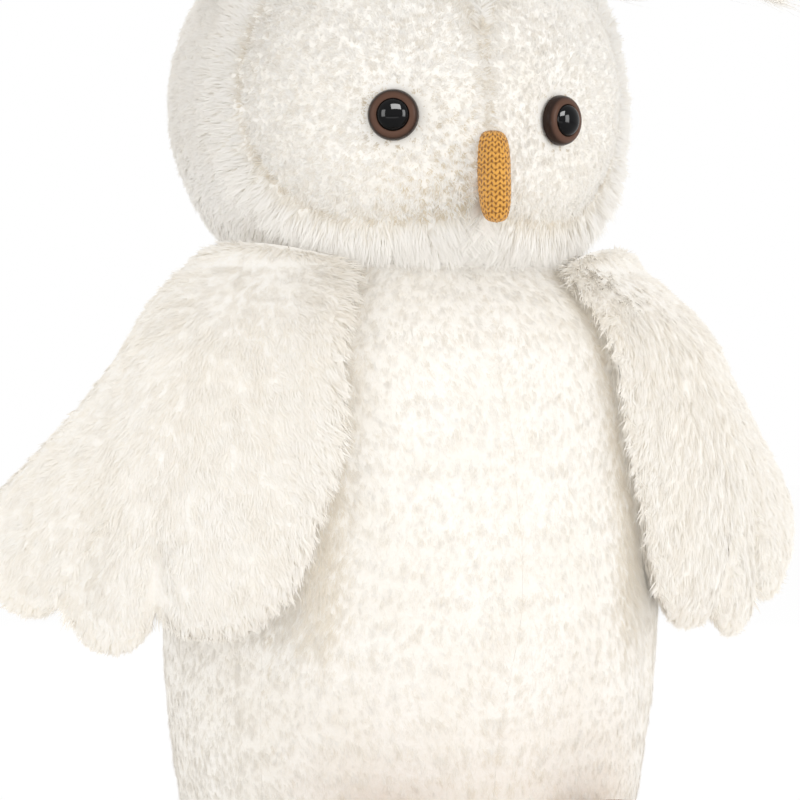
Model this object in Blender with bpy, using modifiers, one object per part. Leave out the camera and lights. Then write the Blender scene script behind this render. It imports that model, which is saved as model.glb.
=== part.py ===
"""A standing plush owl: sewn panels over stuffing, moulded eyes, a knitted beak, wings, feet and a tail.

Metres, +Z up. The owl faces -Y and its left is +X. The origin is on the floor, on the body's upright axis.
"""

import math

import bmesh
import bpy
from mathutils import Matrix, Vector

# Seams and fabric
GAP = 0.0003  # between pieces that touch
OVERRUN = 0.006  # how far a cutter runs past what it cuts
DISC_OVERRUN = 0.030  # the same over a face panel, so that its cutter clears the head's curve
PANEL = 0.004  # a long-pile panel, pile pressed flat
THIN_PANEL = 0.003  # a panel of a wing, a foot or the tail
SLACK = 0.0012  # room round a filling
SEAM_DIP = 0.0016  # how far a body seam draws in
SEAM_DIP_WIDTH = 0.0075  # half width of the hollow along a seam

# Body
BODY_RADIUS = 0.0778
BODY_DEPTH_SHARE = 0.925
NECK_HEIGHT = 0.186
BODY_PROFILE_SHARES = (0.775, 0.888, 0.935, 0.965, 0.984, 0.996, 1.0, 0.995, 0.975, 0.93, 0.845, 0.645)
SIDE_SEAM_LOW = math.radians(59)
SIDE_SEAM_HIGH = math.radians(47)
BASE_PANEL = 0.0035
PELLET_BAG_HEIGHT = 0.030

# Head
HEAD_RADIUS = 0.0710
HEAD_DEPTH_RADIUS = 0.0748
HEAD_RISE = 0.0686
HEAD_SEAT = 0.0510  # the head's middle over the neck seam
HEAD_CENTRE = NECK_HEIGHT + HEAD_SEAT
HEAD_BACK = 0.0085  # the head's middle behind the body's axis
NECK_BACK_SHARE = 0.45  # of that, at the neck
FACE_HOLLOW = 0.0042  # how far the face draws in at its rim
FACE_FLOOR_SHARE = 0.5  # of that, in the middle of the face
EYE_HOLLOW = 0.0038  # how far an eye draws the face in
EYE_HOLLOW_SPREAD = math.radians(16)
MUZZLE = 0.0072  # how far the face stands out behind the beak
MUZZLE_LATITUDE = math.radians(-20)
MUZZLE_WIDTH, MUZZLE_HEIGHT = math.radians(11), math.radians(17)
DISC_ANGLE = math.radians(34.5)  # centre of a face panel, round from the beak
DISC_INNER_WIDTH, DISC_OUTER_WIDTH = math.radians(37), math.radians(31)
DISC_LATITUDE = math.radians(1)
DISC_HEIGHT = math.radians(36.5)
DISC_BROW_POWER, DISC_CHIN_POWER, DISC_OUTER_POWER = 1.85, 3.6, 2.3  # squareness of each corner

# Eyes
EYE_ANGLE = math.radians(23.6)
EYE_LATITUDE = math.radians(-7.6)
EYE_RADIUS = 0.0075
EYE_WALL = 0.0013  # upright side of the ring
EYE_RING_RISE = 0.0031  # top of the ring over the eye's foot
PUPIL_RADIUS = 0.0048
PUPIL_DOME = 0.0026  # over the top of the ring
PUPIL_SEAT_DEPTH = 0.0012
EYE_FOOT = 0.0006
EYE_SEAT = EYE_FOOT + 3 * GAP  # from an eye's own origin down to the face under it
SHANK_RADIUS = 0.0019
SHANK_LENGTH = 0.0115
WASHER_RADIUS = 0.0066
WASHER_THICKNESS = 0.0014
WASHER_COLLAR = 0.0010
HOLE_CLEARANCE = 0.0004

# Beak
BEAK_LENGTH = 0.0268
BEAK_DROP = 0.0130  # its top under the head's middle
BEAK_TOP = HEAD_CENTRE - BEAK_DROP
BEAK_TOP_SINK = 0.0085  # its middle line behind the head's widest depth, at the top
BEAK_TIP_SINK = 0.0041  # the same at the tip
BEAK_HALF_WIDTH = 0.0044
BEAK_HALF_DEPTH = 0.0070
BEAK_FABRIC = 0.0012
BEAK_SHARES = (0.05, 0.58, 0.84, 0.95, 1.0, 1.0, 0.99, 0.95, 0.88, 0.74, 0.50, 0.05)

# Ear tufts
TUFT_LENGTH = 0.058
TUFT_RADIUS = 0.0105
TUFT_FLATNESS_SHARE = 0.62
TUFT_ANGLE = math.radians(80)
TUFT_LATITUDE = math.radians(33)
TUFT_TILT = math.radians(33)
TUFT_SHARES = (0.55, 0.86, 1.0, 0.94, 0.76, 0.46, 0.08)

# Wings
WING_HEADING = math.radians(39)  # the blade's direction, from straight sideways towards the back
WING_RISE = 0.0060  # the shoulder over the neck seam
WING_TOP = NECK_HEIGHT + WING_RISE
WING_WIDTH = 0.117
WING_LENGTH = 0.1215
WING_FRONT = -0.0095  # the blade's front end along its heading
WING_HALF_THICKNESS = 0.0088
WING_STANDOFF = 0.0060  # the blade's middle surface off the body
WING_HINGE_DROP = 0.0085
WING_CREASE_SHARE = 0.38
WING_CENTRE_SHARES = (0.47, 0.50)
WING_OUTLINE_SHARES = (
    (0.07, 0.09), (0.05, 0.30), (0.045, 0.471), (0.09, 0.647), (0.16, 0.819), (0.26, 0.922),
    (0.37, 0.946), (0.46, 0.936), (0.52, 0.887), (0.565, 0.961), (0.645, 0.985), (0.72, 0.956),
    (0.765, 0.868), (0.82, 0.897), (0.89, 0.897), (0.97, 0.838), (1.01, 0.741), (0.975, 0.638),
    (0.88, 0.54), (0.745, 0.403), (0.64, 0.256), (0.56, 0.09), (0.44, 0.00), (0.19, 0.02),
)
WING_NOTCHES = (8, 12)  # outline points where two lobes meet

# Feet
FOOT_ASIDE = 0.0365
FOOT_STANDOFF = 0.0078  # the middle of the foot outside the body's widest radius
FOOT_REACH = BODY_RADIUS + FOOT_STANDOFF  # from the body's axis to the middle of the foot
FOOT_HALF_WIDTH = 0.0245
FOOT_HALF_LENGTH = 0.0300
FOOT_HEIGHT = 0.0283
FOOT_TOE_SHARE = 0.20
FOOT_FALL_SHARE = 0.42  # how much lower the toes are than the instep
FOOT_TURN = math.radians(14)
FOOT_HINGE_HEIGHT = 0.0265
TOE_SPREAD = math.radians(38)  # from one toe to the next; there are three

# Tail
TAIL_HALF_WIDTH = 0.0235
TAIL_LENGTH = 0.054
TAIL_HALF_THICKNESS = 0.0075
TAIL_TOP = 0.060
TAIL_SINK = 0.0018  # the flap's root, were it flat, inside the body's curve
TAIL_SLOPE = math.radians(20)  # how far the flap leans out from upright
TAIL_HINGE_DROP = 0.0008

# Colours: red, green, blue, roughness
CREAM = (0.86, 0.83, 0.77, 0.95)
FACE_CREAM = (0.82, 0.79, 0.72, 0.95)
MUSTARD = (0.62, 0.30, 0.05, 0.9)
BROWN = (0.09, 0.045, 0.035, 0.25)
BLACK = (0.006, 0.006, 0.007, 0.06)
FIBRE_WHITE = (0.90, 0.90, 0.88, 1.0)
WASHER_WHITE = (0.80, 0.80, 0.78, 0.4)
BAG_GREY = (0.55, 0.55, 0.52, 0.9)

SIDES = (("left", 1), ("right", -1))


def clear_scene():
    for obj in list(bpy.data.objects):
        bpy.data.objects.remove(obj, do_unlink=True)


def new_collection(name):
    collection = bpy.data.collections.new(name)
    bpy.context.scene.collection.children.link(collection)
    return collection


def finish(name, colour):
    """The material of one piece."""
    material = bpy.data.materials.new(name)
    material.use_nodes = True
    shader = material.node_tree.nodes["Principled BSDF"]
    shader.inputs["Base Color"].default_value = (*colour[:3], 1)
    shader.inputs["Roughness"].default_value = colour[3]
    material.diffuse_color = (*colour[:3], 1)
    return material


def add_mesh(name, mesh, collection, colour):
    obj = bpy.data.objects.new(name, mesh)
    collection.objects.link(obj)
    mesh.materials.append(finish(name, colour))
    mesh.shade_smooth()
    mesh.set_sharp_from_angle(angle=math.radians(50))
    return obj


def hang_on(obj, pivot):
    """Parents a piece to its joint's empty and keeps it in place."""
    obj.data.transform(Matrix.Translation(-pivot.location))
    obj.parent = pivot


def add_pivot(name, location, collection):
    pivot = bpy.data.objects.new(name, None)
    pivot.location = location
    pivot.empty_display_size = PANEL
    collection.objects.link(pivot)
    return pivot


# Shapes from curves of shares
def eased(low, high, value):
    """0 below low, 1 above high and a smooth step between."""
    t = min(max((value - low) / (high - low), 0), 1)
    return t * t * (3 - 2 * t)


def along(shares, t):
    """The value at t, from 0 to 1, on a smooth curve through evenly spaced shares."""
    place = min(max(t, 0), 1) * (len(shares) - 1)
    i = min(int(place), len(shares) - 2)
    f = place - i
    a, b = shares[i], shares[i + 1]
    before = shares[i - 1] if i else 2 * a - b
    after = shares[i + 2] if i + 2 < len(shares) else 2 * b - a
    slope_a, slope_b = (b - before) / 2, (after - a) / 2
    return (
        a * (2 * f**3 - 3 * f**2 + 1)
        + slope_a * (f**3 - 2 * f**2 + f)
        + b * (3 * f**2 - 2 * f**3)
        + slope_b * (f**3 - f**2)
    )


def round_outline(shares, steps):
    """Points on a closed smooth curve through an outline's shares."""
    points = []
    for i in range(len(shares)):
        before, a, b, after = (Vector(shares[(i + k) % len(shares)]) for k in (-1, 0, 1, 2))
        for k in range(steps):
            f = k / steps
            slope_a, slope_b = (b - before) / 2, (after - a) / 2
            points.append(
                a * (2 * f**3 - 3 * f**2 + 1)
                + slope_a * (f**3 - 2 * f**2 + f)
                + b * (3 * f**2 - 2 * f**3)
                + slope_b * (f**3 - f**2)
            )
    return points


def ring_shares(count):
    """Rings from the rim, 1, to the middle, 0, closer together at the rim."""
    return [math.cos(math.pi / 2 * k / count) for k in range(count)] + [0]


# Closed bodies lofted between sections
def solid_of(name, bm):
    bmesh.ops.remove_doubles(bm, verts=bm.verts, dist=GAP / 100)
    bmesh.ops.dissolve_degenerate(bm, dist=GAP / 100, edges=bm.edges)
    bmesh.ops.recalc_face_normals(bm, faces=bm.faces)
    mesh = bpy.data.meshes.new(name)
    bm.to_mesh(mesh)
    bm.free()
    return mesh


def skin(bm, rows, closed):
    """Quads between the rows of points, each row closed into a ring or open."""
    grid = [[bm.verts.new(p) for p in row] for row in rows]
    for low, high in zip(grid, grid[1:]):
        count = len(low)
        for i in range(count if closed else count - 1):
            j = (i + 1) % count
            bm.faces.new((low[i], low[j], high[j], high[i]))
    return grid


def bridge(bm, outer, inner, closed):
    count = len(outer)
    for i in range(count if closed else count - 1):
        j = (i + 1) % count
        bm.faces.new((outer[i], outer[j], inner[j], inner[i]))


def panel_mesh(name, surface, rows, columns, thickness, closed=False):
    """A fabric panel: surface(row, column, depth) at its face and at its back, with a square edge."""
    bm = bmesh.new()
    outer, inner = (
        skin(bm, [[surface(r, c, depth) for c in columns] for r in rows], closed)
        for depth in (0, thickness)
    )
    bridge(bm, outer[0], inner[0], closed)
    if math.dist(outer[-1][0].co, outer[-1][len(columns) // 2].co) > GAP:
        bridge(bm, outer[-1], inner[-1], closed)
    if not closed:
        for c in (0, -1):
            bridge(bm, [row[c] for row in outer], [row[c] for row in inner], closed)
    return solid_of(name, bm)


def lofted_mesh(name, rings):
    """A closed body through rings of points, with a fan over each end."""
    bm = bmesh.new()
    grid = skin(bm, rings, closed=True)
    for ring in (grid[0], grid[-1]):
        middle = bm.verts.new(sum((v.co for v in ring), Vector()) / len(ring))
        for i in range(len(ring)):
            bm.faces.new((ring[i], ring[(i + 1) % len(ring)], middle))
    return solid_of(name, bm)


def turned_mesh(name, profile, steps):
    """A closed turned body: the profile runs down its outer side from axis to axis."""
    mesh = bpy.data.meshes.new(name)
    points = [(r, 0, z) for r, z in profile]
    mesh.from_pydata(points, [(i, i + 1) for i in range(len(points) - 1)], [])
    obj = bpy.data.objects.new(name, mesh)
    bpy.context.scene.collection.objects.link(obj)
    screw = obj.modifiers.new("turn", "SCREW")
    screw.steps = screw.render_steps = steps
    screw.use_merge_vertices = True
    screw.merge_threshold = GAP / 100
    turned = baked(obj)
    bm = bmesh.new()
    bm.from_mesh(turned)
    bpy.data.meshes.remove(turned)
    return solid_of(name, bm)


def baked(obj):
    """The object's mesh with its modifiers applied; the object is removed."""
    bpy.context.view_layer.update()
    evaluated = obj.evaluated_get(bpy.context.evaluated_depsgraph_get())
    mesh = bpy.data.meshes.new_from_object(evaluated)
    bpy.data.objects.remove(obj, do_unlink=True)
    return mesh


def add_cutter(name, mesh, cutters):
    cutter = bpy.data.objects.new(name, mesh)
    cutter.hide_render = True
    cutter.display_type = "WIRE"
    cutters.objects.link(cutter)
    return cutter


def cut(obj, cutter):
    boolean = obj.modifiers.new(f"cut_by_{cutter.name}", "BOOLEAN")
    boolean.operation = "DIFFERENCE"
    boolean.solver = "EXACT"
    boolean.object = cutter


# Body
def side_seam(z):
    return SIDE_SEAM_LOW + (SIDE_SEAM_HIGH - SIDE_SEAM_LOW) * z / NECK_HEIGHT


def body_radii(z):
    width = BODY_RADIUS * along(BODY_PROFILE_SHARES, z / NECK_HEIGHT)
    return width, width * BODY_DEPTH_SHARE


def seam_dip(angle, z):
    """How far the body draws in near its front, side and back seams."""
    nearest = min(abs(abs(angle) - seam) for seam in (0, side_seam(z), math.pi))
    return SEAM_DIP * math.exp(-((nearest * BODY_RADIUS / SEAM_DIP_WIDTH) ** 2))


def body_point(angle, z, depth=0, aside=0):
    """A point of the body: angle round from the front, towards the left."""
    width, deep = body_radii(z)
    inset = depth + seam_dip(angle, z)
    return Vector((aside + (width - inset) * math.sin(angle), -(deep - inset) * math.cos(angle), z))


def off_body(point, clearance):
    """The point, pushed straight out from the body's axis until it clears the body."""
    width, deep = body_radii(min(point.z, NECK_HEIGHT))
    reach = math.hypot(point.x, point.y)
    sine, cosine = point.x / reach, point.y / reach
    surface = 1 / math.hypot(sine / width, cosine / deep)
    push = max(1, (surface + clearance) / reach)
    return Vector((point.x * push, point.y * push, point.z))


def body_heights(count):
    low, high = 0, NECK_HEIGHT - GAP / 2
    return [low + (high - low) * k / count for k in range(count + 1)]


def body_panel(name, side, start, end, columns, collection, pivot):
    """A body panel between two seams; start and end give a seam's angle at a height."""

    def surface(z, share, depth):
        room = GAP / 2 / body_radii(z)[0]
        a, b = start(z) + room, end(z) - room
        point = body_point(a + (b - a) * share, z, depth)
        return Vector((side * point.x, point.y, point.z))

    shares = [k / columns for k in range(columns + 1)]
    mesh = panel_mesh(name, surface, body_heights(12), shares, PANEL)
    hang_on(add_mesh(name, mesh, collection, CREAM), pivot)


def flat_ring(z, depth, count):
    """A level oval inside the body's panels and their seams."""
    width, deep = (radius - depth - SEAM_DIP for radius in body_radii(z))
    turns = [2 * math.pi * k / count for k in range(count)]
    return [Vector((width * math.sin(a), deep * math.cos(a), z)) for a in turns]


def body_inside(collection, pivot):
    """The base panel, the pellet bag on it and the stuffing above."""
    depth = PANEL + SLACK
    count = 28
    rim = PANEL + 2 * GAP
    base = lofted_mesh("base_panel", [flat_ring(z, rim, count) for z in (0, BASE_PANEL)])
    hang_on(add_mesh("base_panel", base, collection, CREAM), pivot)

    floor = BASE_PANEL + GAP
    bag = []
    for k in range(1, 6):
        bulge = math.sin(math.pi * k / 6) ** 0.5
        z = floor + PELLET_BAG_HEIGHT * (1 - math.cos(math.pi * k / 6)) / 2
        width, deep = (r - depth - PANEL for r in body_radii(floor))
        bag.append([
            Vector((width * bulge * math.sin(a), deep * bulge * math.cos(a), z))
            for a in (2 * math.pi * i / count for i in range(count))
        ])
    hang_on(add_mesh("pellet_bag", lofted_mesh("pellet_bag", bag), collection, BAG_GREY), pivot)

    low = bag[-1][0].z + GAP
    high = NECK_HEIGHT - GAP / 2
    rings = [flat_ring(low + (high - low) * k / 8, depth, count) for k in range(9)]
    stuffing = lofted_mesh("body_stuffing", rings)
    hang_on(add_mesh("body_stuffing", stuffing, collection, FIBRE_WHITE), pivot)


# Head
def wrapped(angle):
    """The same direction as an angle of at most half a turn."""
    return math.remainder(angle, 2 * math.pi)


def squared_length(across, up):
    """The length of (across, up) for a face panel's outline: 1 all round it, more at its corners."""
    if across > 0:
        power = DISC_OUTER_POWER
    else:
        power = DISC_BROW_POWER if up > 0 else DISC_CHIN_POWER
    return (abs(across) ** power + abs(up) ** power) ** (1 / power)


def disc_shape(angle, latitude):
    """1 on a face panel's outline, less inside it and more outside."""
    across = abs(wrapped(angle)) - DISC_ANGLE
    across /= DISC_INNER_WIDTH if across < 0 else DISC_OUTER_WIDTH
    up = (latitude - DISC_LATITUDE) / DISC_HEIGHT
    return squared_length(across, up)


def face_dip(angle, latitude):
    """How far the head draws in: most at the rim of a face panel, some inside it and none away from it."""
    place = disc_shape(angle, latitude)
    inside = FACE_FLOOR_SHARE + (1 - FACE_FLOOR_SHARE) * eased(0.55, 1, place)
    up = (latitude - MUZZLE_LATITUDE) / MUZZLE_HEIGHT
    muzzle = MUZZLE * math.exp(-((wrapped(angle) / MUZZLE_WIDTH) ** 2) - up**2)
    off_eye = math.hypot(abs(wrapped(angle)) - EYE_ANGLE, latitude - EYE_LATITUDE)
    pull = EYE_HOLLOW * math.exp(-((off_eye / EYE_HOLLOW_SPREAD) ** 2))
    return FACE_HOLLOW * inside * (1 - eased(1, 1.28, place)) + pull - muzzle


def head_point(angle, latitude, depth=0, aside=0):
    """A point of the head: angle round from the beak, towards the left."""
    dip = face_dip(angle, latitude)
    inset = depth + dip
    level = math.cos(latitude)
    z = HEAD_CENTRE + (HEAD_RISE - depth - max(dip, 0)) * math.sin(latitude)
    back = HEAD_BACK * (NECK_BACK_SHARE + (1 - NECK_BACK_SHARE) * eased(NECK_HEIGHT, HEAD_CENTRE, z))
    return Vector((
        aside + (HEAD_RADIUS - inset) * level * math.sin(angle),
        back - (HEAD_DEPTH_RADIUS - inset) * level * math.cos(angle),
        z,
    ))


def head_normal(angle, latitude):
    step = math.radians(1)
    along_angle = head_point(angle + step, latitude) - head_point(angle - step, latitude)
    along_latitude = head_point(angle, latitude + step) - head_point(angle, latitude - step)
    return along_angle.cross(along_latitude).normalized()


NECK_LATITUDE = -math.asin((HEAD_SEAT - GAP / 2) / HEAD_RISE)


def disc_outline(count, grow=0):
    """The angles of a face panel's outline, made larger all round by grow."""
    places = []
    for k in range(count):
        turn = 2 * math.pi * k / count
        across, up = math.cos(turn), math.sin(turn)
        length = squared_length(across, up)
        width = DISC_OUTER_WIDTH if across > 0 else DISC_INNER_WIDTH
        places.append((
            DISC_ANGLE + across / length * (width + grow / HEAD_RADIUS),
            DISC_LATITUDE + up / length * (DISC_HEIGHT + grow / HEAD_RISE),
        ))
    return places


def mirrored(point, side):
    return Vector((side * point.x, point.y, point.z))


def face_panel(name, side, collection, pivot):
    """A face panel, from the hole for the eye's shank out to its sewn rim."""
    centre = GAP / 2 / (HEAD_RADIUS - PANEL)
    outline = [(max(angle, centre), latitude) for angle, latitude in disc_outline(30)]
    hole = SHANK_RADIUS + HOLE_CLEARANCE
    frame = eye_frame(1)

    def surface(share, k, depth):
        angle, latitude = outline[k]
        turn = math.atan2(latitude - EYE_LATITUDE, angle - EYE_ANGLE)
        if share == 0:
            rim = Vector((hole * math.cos(turn), hole * math.sin(turn), -EYE_SEAT - depth))
            return mirrored(frame @ rim, side)
        hole_angle = EYE_ANGLE + hole / (HEAD_RADIUS - depth) * math.cos(turn)
        hole_latitude = EYE_LATITUDE + hole / (HEAD_RISE - depth) * math.sin(turn)
        point = head_point(
            hole_angle + (angle - hole_angle) * share,
            hole_latitude + (latitude - hole_latitude) * share,
            depth,
        )
        return mirrored(point, side)

    shares = (0, 0.2, 0.46, 0.73, 1)
    mesh = panel_mesh(name, surface, shares, range(len(outline)), PANEL, closed=True)
    hang_on(add_mesh(name, mesh, collection, FACE_CREAM), pivot)


def head_side(name, side, collection, cutters, pivot):
    """Half of the head's long-pile cover, cut out round the face panel."""

    def surface(latitude, angle, depth):
        return mirrored(head_point(angle, latitude, depth, aside=GAP / 2), side)

    rows = [NECK_LATITUDE + (math.pi / 2 - NECK_LATITUDE) * k / 13 for k in range(14)]
    columns = [math.pi * k / 16 for k in range(17)]
    mesh = panel_mesh(name, surface, rows, columns, PANEL)
    obj = add_mesh(name, mesh, collection, CREAM)
    outline = disc_outline(30, grow=GAP)
    rings = [
        [mirrored(head_point(a, b, depth), side) for a, b in outline]
        for depth in (-DISC_OVERRUN, 0, PANEL, PANEL + OVERRUN)
    ]
    cut(obj, add_cutter(f"{name}_opening", lofted_mesh(name, rings), cutters))
    hang_on(obj, pivot)


def head_stuffing(collection, cutters, pivot):
    """The head's filling, with room behind each face panel for the shank and the washer."""
    depth = PANEL + 2 * SLACK
    count = 36
    turns = [2 * math.pi * k / count - math.pi for k in range(count)]
    low = NECK_HEIGHT + GAP / 2
    rings = [[head_point(a, NECK_LATITUDE, depth) for a in turns]]
    rings.insert(0, [Vector((p.x, p.y, low)) for p in rings[0]])
    for k in range(1, 15):
        latitude = NECK_LATITUDE + (math.pi / 2 - NECK_LATITUDE) * k / 15
        rings.append([head_point(a, latitude, depth) for a in turns])
    obj = add_mesh("head_stuffing", lofted_mesh("head_stuffing", rings), collection, FIBRE_WHITE)
    for side_name, side in SIDES:
        pocket = turned_mesh(
            f"eye_pocket_{side_name}",
            (
                (0, -PANEL / 2),
                (WASHER_RADIUS + GAP, -PANEL / 2),
                (WASHER_RADIUS + GAP, washer_back() - GAP),
                (SHANK_RADIUS + HOLE_CLEARANCE, washer_back() - GAP),
                (SHANK_RADIUS + HOLE_CLEARANCE, -EYE_FOOT - SHANK_LENGTH - GAP),
                (0, -EYE_FOOT - SHANK_LENGTH - GAP),
            ),
            20,
        )
        pocket.transform(eye_frame(side))
        cut(obj, add_cutter(f"eye_pocket_{side_name}", pocket, cutters))
    hang_on(obj, pivot)


# Eyes
def eye_frame(side):
    """The eye's own axes: Z along its shank and outwards, with 0 just over its foot."""
    axis = head_normal(EYE_ANGLE, EYE_LATITUDE)
    place = head_point(EYE_ANGLE, EYE_LATITUDE) + axis * EYE_SEAT
    turn = mirrored(axis, side).to_track_quat("Z", "Y").to_matrix().to_4x4()
    return Matrix.Translation(mirrored(place, side)) @ turn


def washer_back():
    return -EYE_SEAT - PANEL - 2 * GAP - WASHER_THICKNESS - WASHER_COLLAR


def iris_profile():
    seat = EYE_RING_RISE - PUPIL_SEAT_DEPTH
    slope = EYE_RADIUS - PUPIL_RADIUS
    ring = EYE_RING_RISE - EYE_WALL
    return (
        (0, seat),
        (PUPIL_RADIUS, seat),
        (PUPIL_RADIUS, EYE_RING_RISE),
        (PUPIL_RADIUS + slope * 0.25, EYE_RING_RISE - ring * 0.06),
        (PUPIL_RADIUS + slope * 0.55, EYE_RING_RISE - ring * 0.28),
        (PUPIL_RADIUS + slope * 0.80, EYE_RING_RISE - ring * 0.58),
        (PUPIL_RADIUS + slope * 0.95, EYE_WALL),
        (EYE_RADIUS, EYE_WALL * 0.55),
        (EYE_RADIUS, -EYE_FOOT * 0.5),
        (EYE_RADIUS - EYE_FOOT * 0.5, -EYE_FOOT),
        (SHANK_RADIUS, -EYE_FOOT),
        (SHANK_RADIUS, -EYE_FOOT - SHANK_LENGTH * 0.94),
        (SHANK_RADIUS * 0.7, -EYE_FOOT - SHANK_LENGTH),
        (0, -EYE_FOOT - SHANK_LENGTH),
    )


def pupil_profile():
    """A low dome over a straight plug that stands in the ring's seat."""
    radius = PUPIL_RADIUS - GAP
    foot = EYE_RING_RISE - PUPIL_SEAT_DEPTH + GAP
    dome = [
        (radius * math.sin(t), EYE_RING_RISE + PUPIL_DOME * math.cos(t))
        for t in (math.pi / 2 * k / 6 for k in range(7))
    ]
    return (*dome, (radius, foot), (0, foot))


def washer_profile():
    """A locking ring whose sprung collar grips the shank."""
    face = -EYE_SEAT - PANEL - 2 * GAP
    bore = SHANK_RADIUS + GAP
    collar = bore + WASHER_COLLAR
    back = face - WASHER_THICKNESS
    return (
        (bore, face),
        (WASHER_RADIUS * 0.94, face),
        (WASHER_RADIUS, face - WASHER_THICKNESS * 0.25),
        (WASHER_RADIUS, back + WASHER_THICKNESS * 0.2),
        (WASHER_RADIUS * 0.92, back),
        (collar * 1.25, back),
        (collar, back - WASHER_COLLAR),
        (bore, back - WASHER_COLLAR),
        (bore, face),
    )


def eye(side_name, side, collection, pivot):
    pieces = (
        (f"eye_iris_{side_name}", iris_profile(), BROWN, 28),
        (f"eye_pupil_{side_name}", pupil_profile(), BLACK, 28),
        (f"eye_washer_{side_name}", washer_profile(), WASHER_WHITE, 20),
    )
    for name, profile, colour, steps in pieces:
        mesh = turned_mesh(name, profile, steps)
        mesh.transform(eye_frame(side))
        hang_on(add_mesh(name, mesh, collection, colour), pivot)


# Beak
def beak_rings(inset):
    """Upright rings from tip to top of the beak, drawn in by inset."""
    rings = []
    count = 18
    for k in range(len(BEAK_SHARES)):
        t = k / (len(BEAK_SHARES) - 1)
        share = BEAK_SHARES[len(BEAK_SHARES) - 1 - k]
        height = BEAK_LENGTH - 2 * inset
        z = BEAK_TOP - BEAK_LENGTH + inset + height * (1 - math.cos(math.pi * t)) / 2
        reach = HEAD_DEPTH_RADIUS - BEAK_TIP_SINK - (BEAK_TOP_SINK - BEAK_TIP_SINK) * t
        width, deep = (half * share - inset * share for half in (BEAK_HALF_WIDTH, BEAK_HALF_DEPTH))
        rings.append([
            Vector((width * math.sin(a), -reach - deep * math.cos(a), z))
            for a in (2 * math.pi * i / count for i in range(count))
        ])
    return rings


def face_block(cutters):
    """The head's outer form, a gap larger, that pieces sewn on the face are cut by."""
    turns = [2 * math.pi * k / 60 - math.pi for k in range(60)]
    rings = []
    for k in range(1, 36):
        latitude = math.pi * (k / 36 - 0.5)
        rings.append([head_point(a, latitude, -3 * GAP) for a in turns])
    return add_cutter("head_form", lofted_mesh("head_form", rings), cutters)


def beak(collection, cutters, head_form, pivot):
    cover = add_mesh("beak_cover", lofted_mesh("beak_cover", beak_rings(0)), collection, MUSTARD)
    hollow = add_cutter("beak_hollow", lofted_mesh("beak_hollow", beak_rings(BEAK_FABRIC)), cutters)
    cut(cover, head_form)
    cut(cover, hollow)
    hang_on(cover, pivot)
    rings = beak_rings(BEAK_FABRIC + GAP)
    filling = add_mesh("beak_stuffing", lofted_mesh("beak_stuffing", rings), collection, FIBRE_WHITE)
    cut(filling, head_form)
    hang_on(filling, pivot)


# Ear tufts
def ear_tuft(name, side, collection, pivot):
    """A flattened teardrop of long pile that stands out from the side of the crown."""
    foot = head_point(TUFT_ANGLE, TUFT_LATITUDE)
    out = head_normal(TUFT_ANGLE, TUFT_LATITUDE)
    lean = Matrix.Rotation(TUFT_TILT, 3, "Y")
    count = 14
    rings = []
    for k in range(8):
        t = k / 7
        radius = TUFT_RADIUS * along(TUFT_SHARES, t)
        bend = lean if k == 7 else Matrix.Rotation(TUFT_TILT * t, 3, "Y")
        axis = bend @ out
        across = axis.cross(Vector((0, 0, 1))).normalized()
        up = across.cross(axis)
        middle = foot + out * 2 * GAP + axis * TUFT_LENGTH * t
        rings.append([
            mirrored(
                middle
                + across * radius * math.cos(a)
                + up * radius * TUFT_FLATNESS_SHARE * math.sin(a),
                side,
            )
            for a in (2 * math.pi * i / count for i in range(count))
        ])
    hang_on(add_mesh(name, lofted_mesh(name, rings), collection, CREAM), pivot)


# Pads: two sheets sewn together round an outline
def pad_point(outline, middle, k, ring, depth, size):
    """A place on a pad's plan, on ring times the outline, drawn in by depth."""
    return middle + (outline[k] - middle) * ring * (1 - depth / size)


def pad_swell(ring, height, depth):
    """The sheet's height over the seam: upright at the rim and full in the middle."""
    return GAP / 2 + (height - depth) * math.sqrt(max(0, 1 - ring**2.6))


def pad_sheet(name, place, outline, rings, thickness, facing):
    """One sheet of a pad; place(k, ring, depth, facing) is a point of it."""

    def surface(ring, k, depth):
        return place(k, ring, depth, facing)

    return panel_mesh(name, surface, ring_shares(rings), range(len(outline)), thickness, closed=True)


def pad_filling(name, place, outline, rings, depth):
    """The filling between a pad's two sheets."""
    shares = ring_shares(rings)[:-1]
    count = range(len(outline))
    upper = [[place(k, ring, depth, 1) for k in count] for ring in shares]
    lower = [[place(k, ring, depth, -1) for k in count] for ring in shares]
    return lofted_mesh(name, [*reversed(upper), *lower])


# Wings
def wing_axes(side):
    """The blade's directions: along it towards the back, and out from its face."""
    ahead = Vector((side * math.cos(WING_HEADING), math.sin(WING_HEADING), 0))
    out = Vector((side * math.sin(WING_HEADING), -math.cos(WING_HEADING), 0))
    return ahead, out


def wing_reach(z):
    """How far the blade's middle surface lies from the body's axis, along its facing."""
    width, deep = body_radii(min(z, NECK_HEIGHT))
    return WING_STANDOFF + 1 / math.hypot(math.sin(WING_HEADING) / width, math.cos(WING_HEADING) / deep)


def wing_plan(steps):
    """The lobed outline as (along, height) and the middle that its rings shrink to."""
    def place(shares):
        return Vector((WING_FRONT + WING_WIDTH * shares[0], WING_TOP - WING_LENGTH * shares[1]))

    outline = [place(shares) for shares in round_outline(WING_OUTLINE_SHARES, steps)]
    return outline, place(WING_CENTRE_SHARES)


def crease(k, count, ring):
    """1, or less on the sewn creases that run up from the notches between the lobes."""
    points = len(WING_OUTLINE_SHARES)
    near = min(abs(k * points / count - notch) for notch in WING_NOTCHES)
    return 1 - WING_CREASE_SHARE * math.exp(-((near / 0.8) ** 2)) * eased(0.35, 0.85, ring)


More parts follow.
